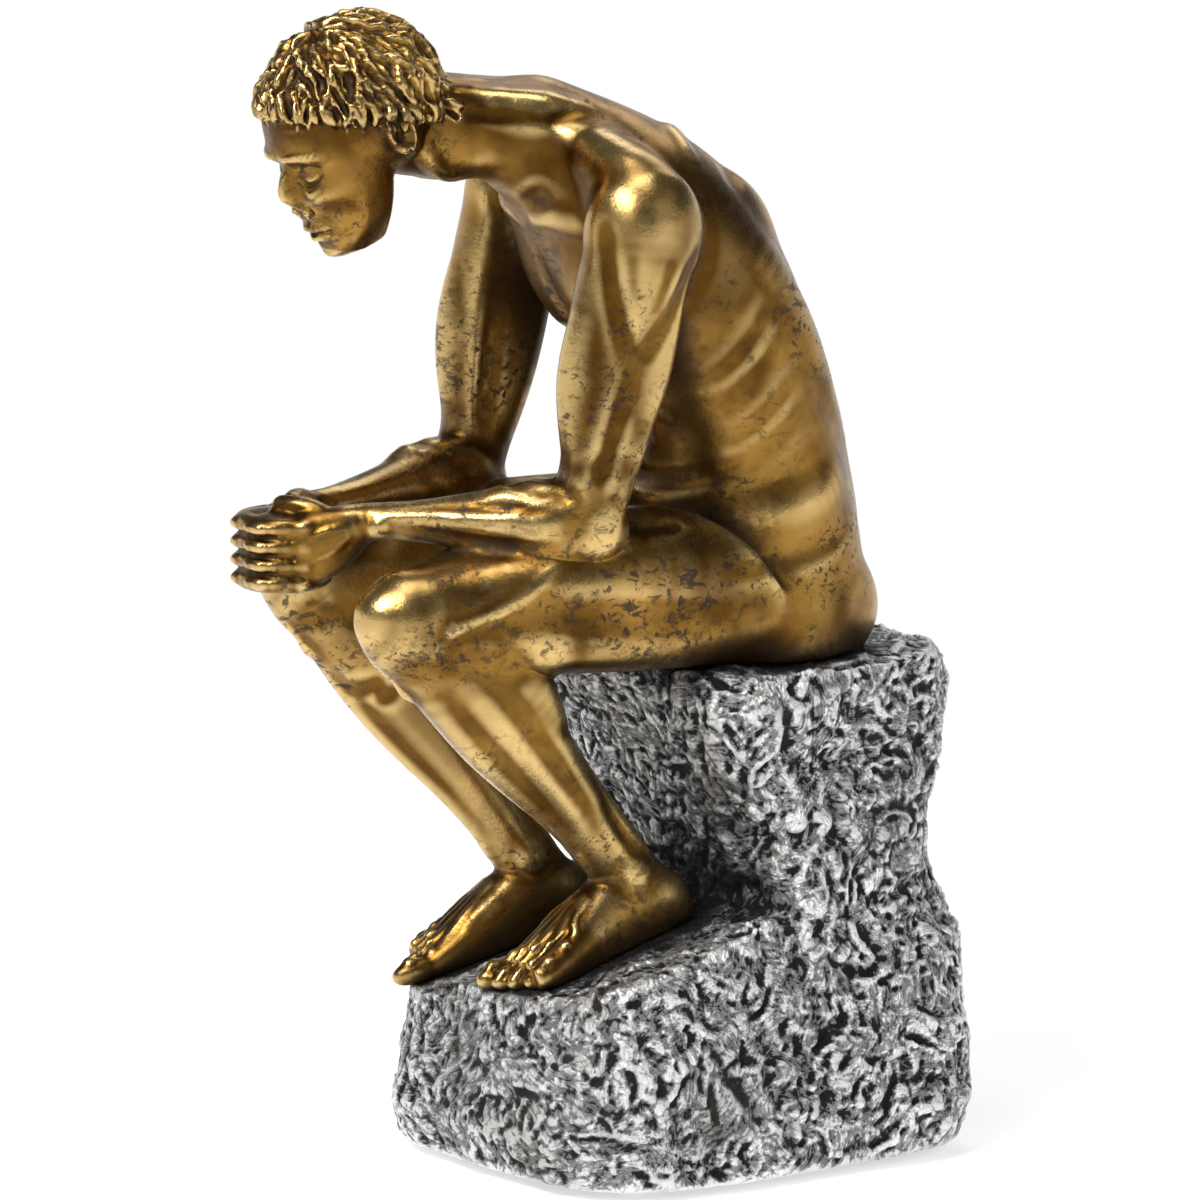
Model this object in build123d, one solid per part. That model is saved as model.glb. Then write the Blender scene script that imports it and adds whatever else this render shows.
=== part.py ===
from build123d import *

import math
import os

# A gold figure seated in thought on a rough silver rock, in millimetres.
# The figure is a set of resin castings that meet on flat seams and are pinned with steel dowels.
# It is bolted to a hollow rock casting, which a screwed board on rubber feet closes from below.
# The figure faces -Y, its left side is +X, and the seat bolt stands on x = y = 0 while modelling.

# Stance and limb lengths
SEAT_HEIGHT = 114.0
HIP_RISE = 17.0
HIP_SPREAD = 34.0
HIP_SETBACK = -2.0
THIGH_LENGTH = 84.0
THIGH_SPLAY = 9.0
THIGH_DROP = 1.5
SHIN_LENGTH = 86.0
LEFT_SHIN_SLOPE = 42.0
RIGHT_SHIN_SLOPE = 36.0
SHIN_TUCK = 7.0
ANKLE_RISE = 13.0
FOOT_LENGTH = 49.0
HEEL_BACK = 11.5
TOE_OUT = 6.0
FOOT_PITCH = 16.0
SHOULDER_SPREAD = 72.0
SHOULDER_FORWARD = 32.0
SHOULDER_RISE = 102.0
UPPER_ARM_LENGTH = 67.5
UPPER_ARM_SWING = 10.7
UPPER_ARM_SPLAY = 2.0
FOREARM_LENGTH = 49.0
FOREARM_TURN = 30.0
FOREARM_DROP = 1.0
HEAD_FORWARD = 86.0
HEAD_RISE = 121.0
HEAD_PITCH = 30.0
HEAD_YAW = 8.0

# Stations of the torso: forward, height over the seat, tilt, half width, half depth
TORSO = [
    (-4.5, -5.0, 0.0, 33.0, 25.5),
    (-4.5, 14.0, 0.0, 35.0, 27.0),
    (-5.0, 32.0, 3.0, 32.5, 24.5),
    (-3.0, 50.0, 12.0, 30.5, 22.0),
    (3.5, 68.0, 22.0, 32.0, 23.0),
    (13.5, 86.0, 29.0, 35.0, 24.0),
    (24.5, 101.0, 36.0, 34.0, 21.5),
    (35.0, 111.0, 46.0, 27.5, 16.5),
    (42.5, 115.5, 54.0, 17.0, 14.5),
    (48.5, 119.0, 60.0, 12.8, 13.2),
]

# Stations of a limb: share of its length, half side, half front, shift outward, shift to the front
THIGH = [
    (-0.15, 17.5, 18.0, 0.0, 0.5),
    (0.10, 20.0, 19.5, 1.0, 1.0),
    (0.35, 18.5, 18.0, 1.5, 1.2),
    (0.65, 15.5, 15.5, 1.0, 1.0),
    (0.88, 12.5, 12.8, 0.0, 0.5),
    (1.00, 11.5, 12.0, 0.0, 0.0),
]
SHIN = [
    (0.00, 10.6, 11.6, 0.0, -0.5),
    (0.12, 10.4, 11.6, 0.0, -1.0),
    (0.30, 11.4, 13.0, 0.8, -2.8),
    (0.50, 9.4, 10.8, 0.5, -2.0),
    (0.75, 6.4, 7.2, 0.0, -0.4),
    (0.92, 5.7, 7.0, 0.0, 0.0),
    (1.05, 6.1, 7.6, 0.0, 0.0),
]
FOOT = [
    (0.00, 3.5, 4.0, 0.0, 5.0),
    (0.06, 6.0, 7.0, 0.0, 6.0),
    (0.20, 7.2, 9.5, 0.0, 7.5),
    (0.36, 7.4, 10.5, 0.0, 7.0),
    (0.55, 8.4, 8.5, 0.3, 5.0),
    (0.72, 9.4, 6.2, 0.6, 3.4),
    (0.84, 9.4, 4.4, 0.4, 2.6),
    (0.89, 8.6, 3.4, 0.2, 2.4),
]
UPPER_ARM = [
    (-0.05, 9.0, 10.0, 0.0, 0.0),
    (0.15, 10.4, 12.2, 0.5, 0.0),
    (0.40, 9.4, 12.2, 0.0, 0.6),
    (0.60, 8.8, 11.4, 0.0, 0.3),
    (0.85, 7.9, 8.4, 0.0, 0.0),
    (1.00, 7.4, 7.2, 0.0, 0.0),
]
FOREARM = [
    (0.00, 7.2, 7.2, 0.0, 0.0),
    (0.22, 9.0, 8.4, 0.0, 0.0),
    (0.50, 7.6, 6.9, 0.0, 0.0),
    (0.80, 5.4, 4.6, 0.0, 0.0),
    (1.00, 5.0, 4.4, 0.0, 0.0),
]
YOKE = [
    (0.0, 9.0, 8.0, 0.0, 0.0),
    (1.0, 10.0, 9.0, 0.0, 0.0),
]
FACE = [
    (0.0, 13.6, 11.5, 0.0, 0.0),
    (0.3, 13.8, 12.3, 0.0, 0.3),
    (0.55, 13.0, 11.6, 0.0, 0.5),
    (0.8, 10.2, 9.2, 0.0, 0.6),
    (1.0, 5.8, 5.2, 0.0, 0.3),
]
PALM = [
    (0.35, 4.6, 6.4),
    (0.75, 4.0, 8.0),
    (1.00, 3.0, 7.6),
]

# Rounded muscle and joint forms: side, fore-and-aft and upright radii
DELTOID_RADII = (11.5, 13.5, 16.0)
DELTOID_DROP = 3.0
PECTORAL_RADII = (17.0, 5.5, 12.0)
PECTORAL_SIDE = 14.0
PECTORAL_DROP = 12.0
PECTORAL_TILT = 60.0
BUTTOCK_RADII = (19.0, 20.0, 19.0)
BUTTOCK_SIDE = 14.0
BUTTOCK_BACK = 11.0
BUTTOCK_RISE = 12.0
KNEE_RADII = (11.0, 11.8, 12.2)
ELBOW_RADIUS = 8.0
# Shoulder yoke from beside the neck to the top of the arm: offsets from the shoulder joint
YOKE_INNER_SIDE = 6.0
YOKE_INNER_FORWARD = 3.0
YOKE_INNER_RISE = 10.0
YOKE_OUTER_RISE = 4.0
SHOULDER_SEAM_INSET = 7.0
HIP_SEAM_OUT = 10.0

# Hands, fingers and toes
PALM_LENGTH = 18.0
PALM_TURN = 14.0
PALM_DROP = 24.0
FIST_RADII = (7.5, 9.0, 8.5)
FIST_OFFSET = (-1.0, 2.5, -1.0)
FINGER_RADIUS = 2.3
FINGER_PITCH = 4.1
FINGER_COUNT = 4
# Finger path across both hands: share of the knuckle spread, sideways offset, forward reach
FINGER_PATH = [(1.0, 0.5, 0.0), (1.0, -1.5, 5.5), (0.0, 0.0, 8.0), (-1.0, 1.0, 6.0), (-1.0, -2.5, 0.5)]
# Thumb path: sideways offset from the knuckles, backward reach, rise
THUMB_PATH = [(2.0, 9.0, 6.0), (-1.0, 4.0, 9.5), (-6.5, -0.5, 9.8)]
THUMB_STAGGER = 3.2
THUMB_RADIUS = 2.6
TOE_COUNT = 5
BIG_TOE_RADIUS = 3.0
SMALL_TOE_RADIUS = 1.9
TOE_ROW_WIDTH = 14.0

# Head, in its own frame: radii to the side, fore and aft and upright; places forward and up
SKULL_RADII = (16.4, 20.4, 18.2)
SKULL_PLACE = (-1.6, 4.2)
FACE_TOP = (6.0, 8.8)
CHIN = (11.0, -23.4)
HAIR_THICKNESS = 1.5
HAIRLINE_FRONT = (16.5, 12.6)
HAIRLINE_SLOPE = 32.0
EAR_RADII = (2.0, 3.6, 5.6)
EAR_PLACE = (-2.0, -1.0)
NOSE_RADII = (2.6, 3.8, 6.0)
NOSE_PLACE = (19.0, -4.0)
NOSE_TILT = 19.0
NECK_RADII = (11.6, 12.4)
# Neck stations: forward and up in the frame of the head, rise of the neck
NECK_STATIONS = [(-15.0, -10.0, 30.0), (-5.0, 0.0, 20.0)]

# Rock: chipped rings of front, back and half-width reach, by height or by share of the seat height
ROCK_TURN = 14.0
ROCK_SIDES = 22
ROCK_SQUARENESS = 4.0
ROCK_CHIP = 4.0
BASE_CHIP_SHARE = 0.4
BASE_RING = (67.0, 48.0, 50.0)
MOUND_RINGS = [
    (13.0, 71.0, 51.0, 53.0),
    (30.0, 70.0, 48.0, 50.0),
    (46.0, 66.0, 43.0, 45.0),
    (62.0, 61.0, 38.0, 40.0),
]
BLOCK_RINGS = [
    (0.14, 10.0, 51.5, 53.0),
    (0.28, 11.0, 49.5, 51.0),
    (0.42, 12.0, 47.0, 48.5),
    (0.54, 13.5, 44.5, 45.5),
    (0.66, 15.0, 43.0, 43.5),
    (0.82, 24.0, 44.5, 42.5),
    (0.93, 32.0, 48.5, 45.0),
    (1.00, 30.0, 46.5, 43.0),
]
# Hollow under the seat, kept back from the overhang, as reaches before the wall is taken off
HOLLOW_RINGS = [
    (0.14, 10.0, 51.5, 53.0),
    (0.42, 12.0, 47.0, 48.5),
    (0.66, 15.0, 43.0, 43.5),
    (0.82, 15.0, 43.0, 41.5),
    (0.93, 24.0, 43.0, 41.5),
    (1.00, 24.0, 43.0, 41.5),
]
ROCK_WALL = 10.0
SEAT_ROOF = 12.0
LEDGE_ROOF = 12.0

# Board, rubber feet and screws
BOARD_THICKNESS = 4.0
BOARD_INSET = 5.0
BOARD_CLEARANCE = 0.3
RUBBER_FOOT_RADIUS = 6.0
RUBBER_FOOT_HEIGHT = 2.0
RUBBER_FOOT_INSET = 12.5
SCREW_SIDE_INSET = 5.5
SCREW_FRONT_INSET = 10.0
SCREW_BACK_INSET = 6.0
SCREW_RADIUS = 1.5
SCREW_LENGTH = 14.0
SCREW_HEAD_RADIUS = 3.0
SCREW_HEAD_DEPTH = 1.7
SCREW_SLOT_WIDTH = 0.8
SCREW_SLOT_DEPTH = 0.9
BOSS_RADIUS = 6.0
BOSS_HEIGHT = 20.0

# Seat bolt, washer and threaded insert
BOLT_RADIUS = 3.0
BOLT_HEAD_WIDTH = 10.0
BOLT_HEAD_HEIGHT = 4.0
BOLT_TIP_GAP = 2.0
WASHER_RADIUS = 9.0
WASHER_THICKNESS = 1.6
INSERT_RADIUS = 4.6
INSERT_LENGTH = 14.0

# Steel dowels across the seams: radius and length
NECK_DOWEL = (2.5, 18.0)
SHOULDER_DOWEL = (2.5, 20.0)
HIP_DOWEL = (3.0, 22.0)
WRIST_DOWEL = (1.5, 10.0)
FOOT_DOWEL = (2.0, 14.0)
PIN_CLEARANCE = 0.1
PIN_END_GAP = 0.4

CUTTER_SIZE = 400.0
RING_POINTS = 12
RING_SQUARENESS = 2.25
FORWARD = Vector(0, -1, 0)
UP = Vector(0, 0, 1)


def heading(turn, drop):
    """Unit vector that looks forward, turned outward and dropped below the horizon by degrees."""
    a, d = math.radians(turn), math.radians(drop)
    return Vector(math.sin(a) * math.cos(d), -math.cos(a) * math.cos(d), -math.sin(d))


def to_side(point, side):
    """The vector for the left side (1), or its mirror image for the right side (-1)."""
    return Vector(point.X * side, point.Y, point.Z)


def ring(plane, half_x, half_y):
    """Closed smooth section, a little squarer than an ellipse."""
    points = []
    for k in range(RING_POINTS):
        c = math.cos(2 * math.pi * k / RING_POINTS)
        s = math.sin(2 * math.pi * k / RING_POINTS)
        x = half_x * math.copysign(abs(c) ** (2 / RING_SQUARENESS), c)
        y = half_y * math.copysign(abs(s) ** (2 / RING_SQUARENESS), s)
        points.append(plane.from_local_coords(Vector(x, y, 0)))
    return make_face(Spline(*points, periodic=True))


def limb(start, end, front, stations, side=1):
    """Loft along the line from start to end, with stations set out across it."""
    axis = (end - start).normalized()
    up = (front - axis * front.dot(axis)).normalized()
    across = up.cross(axis)
    rings = []
    for share, half_side, half_front, shift_out, shift_front in stations:
        centre = start + (end - start) * share + across * (shift_out * side) + up * shift_front
        rings.append(ring(Plane(centre, x_dir=across, z_dir=axis), half_side, half_front))
    return loft(rings)


def digit(points, radius):
    """Finger or thumb: a round loft that follows three or more points, with ball ends."""
    rings = []
    for k, point in enumerate(points):
        ahead = points[min(k + 1, len(points) - 1)]
        behind = points[max(k - 1, 0)]
        rings.append(ring(Plane(point, x_dir=UP, z_dir=(ahead - behind).normalized()), radius, radius))
    return loft(rings) + Pos(*points[0]) * Sphere(radius * 1.05) + Pos(*points[-1]) * Sphere(radius * 1.05)


def ellipsoid(centre, radii, x_dir=Vector(1, 0, 0), z_dir=Vector(0, 0, 1)):
    return Plane(centre, x_dir=x_dir, z_dir=z_dir) * scale(Sphere(1), by=tuple(radii))


def rod(centre, axis, radius, length):
    """Round bar or hole, centred on a point."""
    return Plane(centre, z_dir=axis) * Cylinder(radius, length)


def keep(shape, plane, side):
    return split(shape, bisect_by=plane, keep=side)


# Joints of the left side; the right side mirrors them
THIGH_AIM = heading(THIGH_SPLAY, THIGH_DROP)
FOREARM_AIM = heading(-FOREARM_TURN, FOREARM_DROP)
HIP = Vector(HIP_SPREAD / 2, HIP_SETBACK, SEAT_HEIGHT + HIP_RISE)
KNEE = HIP + THIGH_AIM * THIGH_LENGTH
SHOULDER = Vector(SHOULDER_SPREAD / 2, -SHOULDER_FORWARD, SEAT_HEIGHT + SHOULDER_RISE)
ELBOW = SHOULDER + heading(UPPER_ARM_SPLAY, 90 - UPPER_ARM_SWING) * UPPER_ARM_LENGTH
WRIST = ELBOW + FOREARM_AIM * FOREARM_LENGTH
KNUCKLE = WRIST + heading(-PALM_TURN, PALM_DROP) * PALM_LENGTH
HEAD = Vector(0, -HEAD_FORWARD, SEAT_HEIGHT + HEAD_RISE)
FACING = heading(HEAD_YAW, HEAD_PITCH)
HEAD_LEFT = heading(HEAD_YAW + 90, 0)
HEAD_UP = FACING.cross(HEAD_LEFT)

# Flat seams between the castings
SEAT_PLANE = Plane((0, 0, SEAT_HEIGHT))
SHOULDER_SEAM = Plane(SHOULDER - Vector(SHOULDER_SEAM_INSET, 0, 0), x_dir=(0, 1, 0), z_dir=(1, 0, 0))
HIP_SEAM = Plane(HIP + THIGH_AIM * HIP_SEAM_OUT, z_dir=Vector(0.55, -0.68, -0.48))


def ankle(side):
    slope = math.radians(LEFT_SHIN_SLOPE if side > 0 else RIGHT_SHIN_SLOPE)
    tuck = math.radians(SHIN_TUCK)
    down = Vector(-math.sin(tuck), math.sin(slope), -math.cos(slope)).normalized()
    return to_side(KNEE + down * SHIN_LENGTH, side)


def sole_plane(side):
    """Plane of the sole below the ankle, x across the foot, tipped down toward the toes."""
    aim = heading(TOE_OUT * side, FOOT_PITCH)
    across = heading(TOE_OUT * side + 90, 0)
    normal = aim.cross(across)
    return Plane(ankle(side) - normal * ANKLE_RISE, x_dir=across, z_dir=normal)


def at_head(left, forward, up):
    return HEAD + HEAD_LEFT * left + FACING * forward + HEAD_UP * up


def torso_ring(station):
    forward, height, tilt, half_width, half_depth = station
    a = math.radians(tilt)
    normal = Vector(0, -math.sin(a), math.cos(a))
    plane = Plane((0, -forward, SEAT_HEIGHT + height), x_dir=(1, 0, 0), z_dir=normal)
    return ring(plane, half_width, half_depth)


def arm(side):
    """Deltoid, upper arm, elbow and forearm, flat at the shoulder and the wrist."""
    shoulder, elbow = to_side(SHOULDER, side), to_side(ELBOW, side)
    shape = ellipsoid(shoulder - UP * DELTOID_DROP, DELTOID_RADII)
    shape += limb(shoulder, elbow, FORWARD, UPPER_ARM, side)
    seam = Plane(to_side(SHOULDER_SEAM.origin, side), x_dir=(0, 1, 0), z_dir=(side, 0, 0))
    shape = keep(shape, seam, Keep.TOP)
    return shape + limb(elbow, to_side(WRIST, side), UP, FOREARM, side) + Pos(*elbow) * Sphere(ELBOW_RADIUS)


def foot(side):
    """Foot with five toes, before the sole is cut flat."""
    sole = sole_plane(side)
    aim = sole.y_dir * -1
    heel = sole.origin - aim * HEEL_BACK
    shape = limb(heel, heel + aim * FOOT_LENGTH, UP, FOOT, side)
    for k in range(TOE_COUNT):
        share = k / (TOE_COUNT - 1)
        radius = BIG_TOE_RADIUS + (SMALL_TOE_RADIUS - BIG_TOE_RADIUS) * share**0.5
        reach = FOOT_LENGTH * (0.93 - 0.14 * share**1.6)
        sideways = (-0.44 + share) * TOE_ROW_WIDTH * side
        centre = heel + aim * reach + sole.x_dir * sideways + sole.z_dir * (radius * 0.8)
        shape += ellipsoid(centre, (radius, radius * 2.1, radius), sole.x_dir, sole.z_dir)
    return shape


def leg(side):
    """Thigh, knee, shin and foot, flat at the hip seam, on the seat and under the sole."""
    hip, knee = to_side(HIP, side), to_side(KNEE, side)
    seam = Plane(to_side(HIP_SEAM.origin, side), z_dir=to_side(HIP_SEAM.z_dir, side))
    thigh = keep(limb(hip, knee, UP, THIGH, side), seam, Keep.TOP)
    thigh = keep(thigh, SEAT_PLANE, Keep.TOP)
    lower = limb(knee, ankle(side), FORWARD, SHIN, side) + ellipsoid(knee, KNEE_RADII) + foot(side)
    return thigh + keep(lower, sole_plane(side), Keep.TOP)


def torso(limbs):
    """Trunk with chest, shoulder yoke and buttocks, cut to receive the limbs."""
    shape = loft([torso_ring(station) for station in TORSO])
    for side in (1, -1):
        shoulder = to_side(SHOULDER, side)
        inner = Vector(YOKE_INNER_SIDE * side, SHOULDER.Y - YOKE_INNER_FORWARD, SHOULDER.Z + YOKE_INNER_RISE)
        shape += limb(inner, shoulder + UP * YOKE_OUTER_RISE, FORWARD, YOKE)
        pectoral = Vector(PECTORAL_SIDE * side, SHOULDER.Y, SHOULDER.Z - PECTORAL_DROP)
        shape += ellipsoid(pectoral, PECTORAL_RADII, z_dir=heading(0, -PECTORAL_TILT))
        buttock = Vector(BUTTOCK_SIDE * side, BUTTOCK_BACK, SEAT_HEIGHT + BUTTOCK_RISE)
        shape += ellipsoid(buttock, BUTTOCK_RADII)
    shape = keep(shape, SEAT_PLANE, Keep.TOP)
    for piece in limbs:
        shape -= piece
    return shape


def head():
    """Neck, skull, face, ears and a cap of short hair."""
    skull = at_head(0, *SKULL_PLACE)
    neck_rings = [torso_ring(TORSO[-1])]
    for forward, up, rise in NECK_STATIONS:
        place = Plane(at_head(0, forward, up), x_dir=HEAD_LEFT, z_dir=heading(HEAD_YAW, -rise))
        neck_rings.append(ring(place, *NECK_RADII))
    shape = loft(neck_rings) + ellipsoid(skull, SKULL_RADII, HEAD_LEFT, HEAD_UP)
    shape += limb(at_head(0, *FACE_TOP), at_head(0, *CHIN), FACING, FACE)
    bridge = heading(HEAD_YAW, HEAD_PITCH - 90 - NOSE_TILT)
    shape += ellipsoid(at_head(0, *NOSE_PLACE), NOSE_RADII, HEAD_LEFT, bridge)
    hair = ellipsoid(skull, [r + HAIR_THICKNESS for r in SKULL_RADII], HEAD_LEFT, HEAD_UP)
    crown = heading(HEAD_YAW, HEAD_PITCH - 90 - HAIRLINE_SLOPE)
    hairline = Plane(at_head(0, *HAIRLINE_FRONT), x_dir=HEAD_LEFT, z_dir=crown)
    shape += keep(hair, hairline, Keep.TOP)
    for side in (1, -1):
        shape += ellipsoid(at_head(SKULL_RADII[0] * side, *EAR_PLACE), EAR_RADII, HEAD_LEFT, HEAD_UP)
    return shape


def palm(side):
    """Hand from the wrist seam to the knuckles, thumb edge upward."""
    wrist, knuckle = to_side(WRIST, side), to_side(KNUCKLE, side)
    aim = to_side(FOREARM_AIM, side)
    across = (UP - aim * UP.dot(aim)).normalized().cross(aim)
    rings = [ring(Plane(wrist, x_dir=across, z_dir=aim), FOREARM[-1][1], FOREARM[-1][2])]
    axis = (knuckle - wrist).normalized()
    across = (UP - axis * UP.dot(axis)).normalized().cross(axis)
    for share, half_side, half_front in PALM:
        centre = wrist + (knuckle - wrist) * share
        rings.append(ring(Plane(centre, x_dir=across, z_dir=axis), half_side, half_front))
    return loft(rings)


def hands():
    """Right fist held in the left hand, one casting between the two wrists."""
    middle = Vector(0, KNUCKLE.Y, KNUCKLE.Z)
    shape = palm(1) + palm(-1) + ellipsoid(middle + Vector(*FIST_OFFSET), FIST_RADII)
    for k in range(FINGER_COUNT):
        row = middle + UP * ((FINGER_COUNT - 1) / 2 - k) * FINGER_PITCH
        path = [row + Vector(KNUCKLE.X * share + offset, -reach, 0) for share, offset, reach in FINGER_PATH]
        shape += digit(path, FINGER_RADIUS)
    for side in (1, -1):
        stagger = 0 if side > 0 else THUMB_STAGGER
        path = []
        for offset, back, rise in THUMB_PATH:
            path.append(middle + Vector((KNUCKLE.X + offset) * side, back + stagger, rise))
        shape += digit(path, THUMB_RADIUS)
    return shape


def rock_ring(height, reach, inset, chip=0, level=0):
    """Polygon around the rock at one height, turned with the rock and chipped inward by level."""
    front, back, half_width = reach
    points = []
    for k in range(ROCK_SIDES):
        a = 2 * math.pi * (k + 0.5) / ROCK_SIDES
        c, s = math.cos(a), math.sin(a)
        depth = back if s > 0 else front
        hewn = inset + chip * (1 + math.sin(7.1 * k + 4.3 * level)) / 2
        x = (half_width - hewn) * math.copysign(abs(c) ** (2 / ROCK_SQUARENESS), c)
        y = (depth - hewn) * math.copysign(abs(s) ** (2 / ROCK_SQUARENESS), s)
        points.append(Vector(x, y, height))
    return Rot(Z=ROCK_TURN) * make_face(Polyline(*points, close=True))


def rock_mass(inset, chip, roof_drop, block, block_top):
    """Low mound with two sloping treads for the feet, and the seat block that rises behind them."""
    rings = [rock_ring(RUBBER_FOOT_HEIGHT, BASE_RING, inset, chip * BASE_CHIP_SHARE)]
    for level, (height, *reach) in enumerate(MOUND_RINGS, start=1):
        rings.append(rock_ring(height, reach, inset, chip, level))
    mass = loft(rings, ruled=True)
    for side in (1, -1):
        tread = sole_plane(side).offset(-roof_drop)
        above = Pos(0, 0, CUTTER_SIZE / 2) * Box(CUTTER_SIZE, CUTTER_SIZE, CUTTER_SIZE)
        mass -= keep(tread * above, Plane.YZ, Keep.TOP if side > 0 else Keep.BOTTOM)
    rings = []
    for level, (share, *reach) in enumerate(block):
        rings.append(rock_ring(block_top * share, reach, inset, chip, level))
    return mass + loft(rings, ruled=True)


def on_rock(spot, height):
    """Point set out on the plan of the rock."""
    return Rot(Z=ROCK_TURN) * Pos(spot[0], spot[1], height)


def dowel_pair(origin, axis, size):
    radius, length = size
    pins = [rod(to_side(origin, side), to_side(axis, side), radius, length) for side in (1, -1)]
    return pins[0] + pins[1]


def bored(shape, centre, axis, size):
    """Shape with a close hole for a dowel."""
    return shape - rod(centre, axis, size[0] + PIN_CLEARANCE, size[1] + 2 * PIN_END_GAP)


made = {}
for name, side in (("left", 1), ("right", -1)):
    made[name + "_leg"] = leg(side)
    made[name + "_arm"] = arm(side) - made[name + "_leg"]
made["torso"] = torso(list(made.values()))
made["head"] = head()
made["hands"] = hands()

# Places on the plan of the rock, inside its wall
screw_side = BASE_RING[2] - ROCK_WALL - SCREW_SIDE_INSET
screw_front = -(BASE_RING[0] - ROCK_WALL - SCREW_FRONT_INSET)
screw_back = BASE_RING[1] - ROCK_WALL - SCREW_BACK_INSET
corners = [(side, y) for y in (screw_front, screw_back) for side in (-1, 1)]
screw_spots = [(side * screw_side, y) for side, y in corners]
pad_spots = [(side * (screw_side - RUBBER_FOOT_INSET), y) for side, y in corners]

# Rock casting, hollow from below
board_top = RUBBER_FOOT_HEIGHT + BOARD_THICKNESS
roof = SEAT_HEIGHT - SEAT_ROOF
rock = rock_mass(0, ROCK_CHIP, 0, BLOCK_RINGS, SEAT_HEIGHT)
rock -= rock_mass(ROCK_WALL, 0, LEDGE_ROOF, HOLLOW_RINGS, roof)
rebate = rock_ring(RUBBER_FOOT_HEIGHT, BASE_RING, BOARD_INSET)
for spot in screw_spots:
    rock += on_rock(spot, board_top + BOSS_HEIGHT / 2) * Cylinder(BOSS_RADIUS, BOSS_HEIGHT)
rock -= extrude(rebate, BOARD_THICKNESS, dir=(0, 0, 1))

# Board that closes the rock, on four rubber feet
outline = rock_ring(RUBBER_FOOT_HEIGHT, BASE_RING, BOARD_INSET + BOARD_CLEARANCE)
board = extrude(outline, BOARD_THICKNESS, dir=(0, 0, 1))
screws = None
feet = None
for spot in screw_spots:
    head_depth = RUBBER_FOOT_HEIGHT + SCREW_HEAD_DEPTH / 2
    shank = on_rock(spot, RUBBER_FOOT_HEIGHT + SCREW_LENGTH / 2) * Cylinder(SCREW_RADIUS, SCREW_LENGTH)
    cone = on_rock(spot, head_depth) * Cone(SCREW_HEAD_RADIUS, SCREW_RADIUS, SCREW_HEAD_DEPTH)
    slot = on_rock(spot, RUBBER_FOOT_HEIGHT + SCREW_SLOT_DEPTH / 2) * Box(
        2 * SCREW_HEAD_RADIUS, SCREW_SLOT_WIDTH, SCREW_SLOT_DEPTH
    )
    hole = on_rock(spot, RUBBER_FOOT_HEIGHT + SCREW_LENGTH / 2) * Cylinder(
        SCREW_RADIUS + PIN_CLEARANCE, SCREW_LENGTH + 2 * PIN_END_GAP
    )
    rock -= hole
    board = board - hole - cone
    screw = shank + cone - slot
    screws = screw if screws is None else screws + screw
for spot in pad_spots:
    pad = on_rock(spot, RUBBER_FOOT_HEIGHT / 2) * Cylinder(RUBBER_FOOT_RADIUS, RUBBER_FOOT_HEIGHT)
    feet = pad if feet is None else feet + pad

# Seat bolt from inside the rock up into the torso
bolt_bottom = roof - WASHER_THICKNESS
bolt_length = SEAT_HEIGHT + INSERT_LENGTH - BOLT_TIP_GAP - bolt_bottom
hexagon = extrude(RegularPolygon(BOLT_HEAD_WIDTH / 2, 6, major_radius=False), BOLT_HEAD_HEIGHT)
bolt = Pos(0, 0, bolt_bottom + bolt_length / 2) * Cylinder(BOLT_RADIUS, bolt_length)
made["seat_bolt"] = bolt + Pos(0, 0, bolt_bottom - BOLT_HEAD_HEIGHT) * hexagon
bolt_hole = Pos(0, 0, SEAT_HEIGHT) * Cylinder(BOLT_RADIUS + PIN_CLEARANCE, 4 * max(SEAT_ROOF, INSERT_LENGTH))
washer = Pos(0, 0, roof - WASHER_THICKNESS / 2) * Cylinder(WASHER_RADIUS, WASHER_THICKNESS)
made["seat_washer"] = washer - bolt_hole
insert_place = Pos(0, 0, SEAT_HEIGHT + INSERT_LENGTH / 2)
made["seat_insert"] = insert_place * Cylinder(INSERT_RADIUS, INSERT_LENGTH) - bolt_hole
made["torso"] -= insert_place * Cylinder(INSERT_RADIUS + PIN_CLEARANCE, INSERT_LENGTH)
rock -= bolt_hole

# Dowels across every seam of the figure
neck = TORSO[-1]
neck_origin = Vector(0, -neck[0], SEAT_HEIGHT + neck[1])
neck_axis = heading(0, neck[2] - 90)
made["neck_dowel"] = rod(neck_origin, neck_axis, *NECK_DOWEL)
made["shoulder_dowels"] = dowel_pair(SHOULDER_SEAM.origin, SHOULDER_SEAM.z_dir, SHOULDER_DOWEL)
made["hip_dowels"] = dowel_pair(HIP_SEAM.origin, THIGH_AIM, HIP_DOWEL)
made["wrist_dowels"] = dowel_pair(WRIST, FOREARM_AIM, WRIST_DOWEL)
foot_pins = [rod(sole_plane(side).origin, sole_plane(side).z_dir, *FOOT_DOWEL) for side in (1, -1)]
made["foot_dowels"] = foot_pins[0] + foot_pins[1]
for piece in ("torso", "head"):
    made[piece] = bored(made[piece], neck_origin, neck_axis, NECK_DOWEL)
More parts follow.
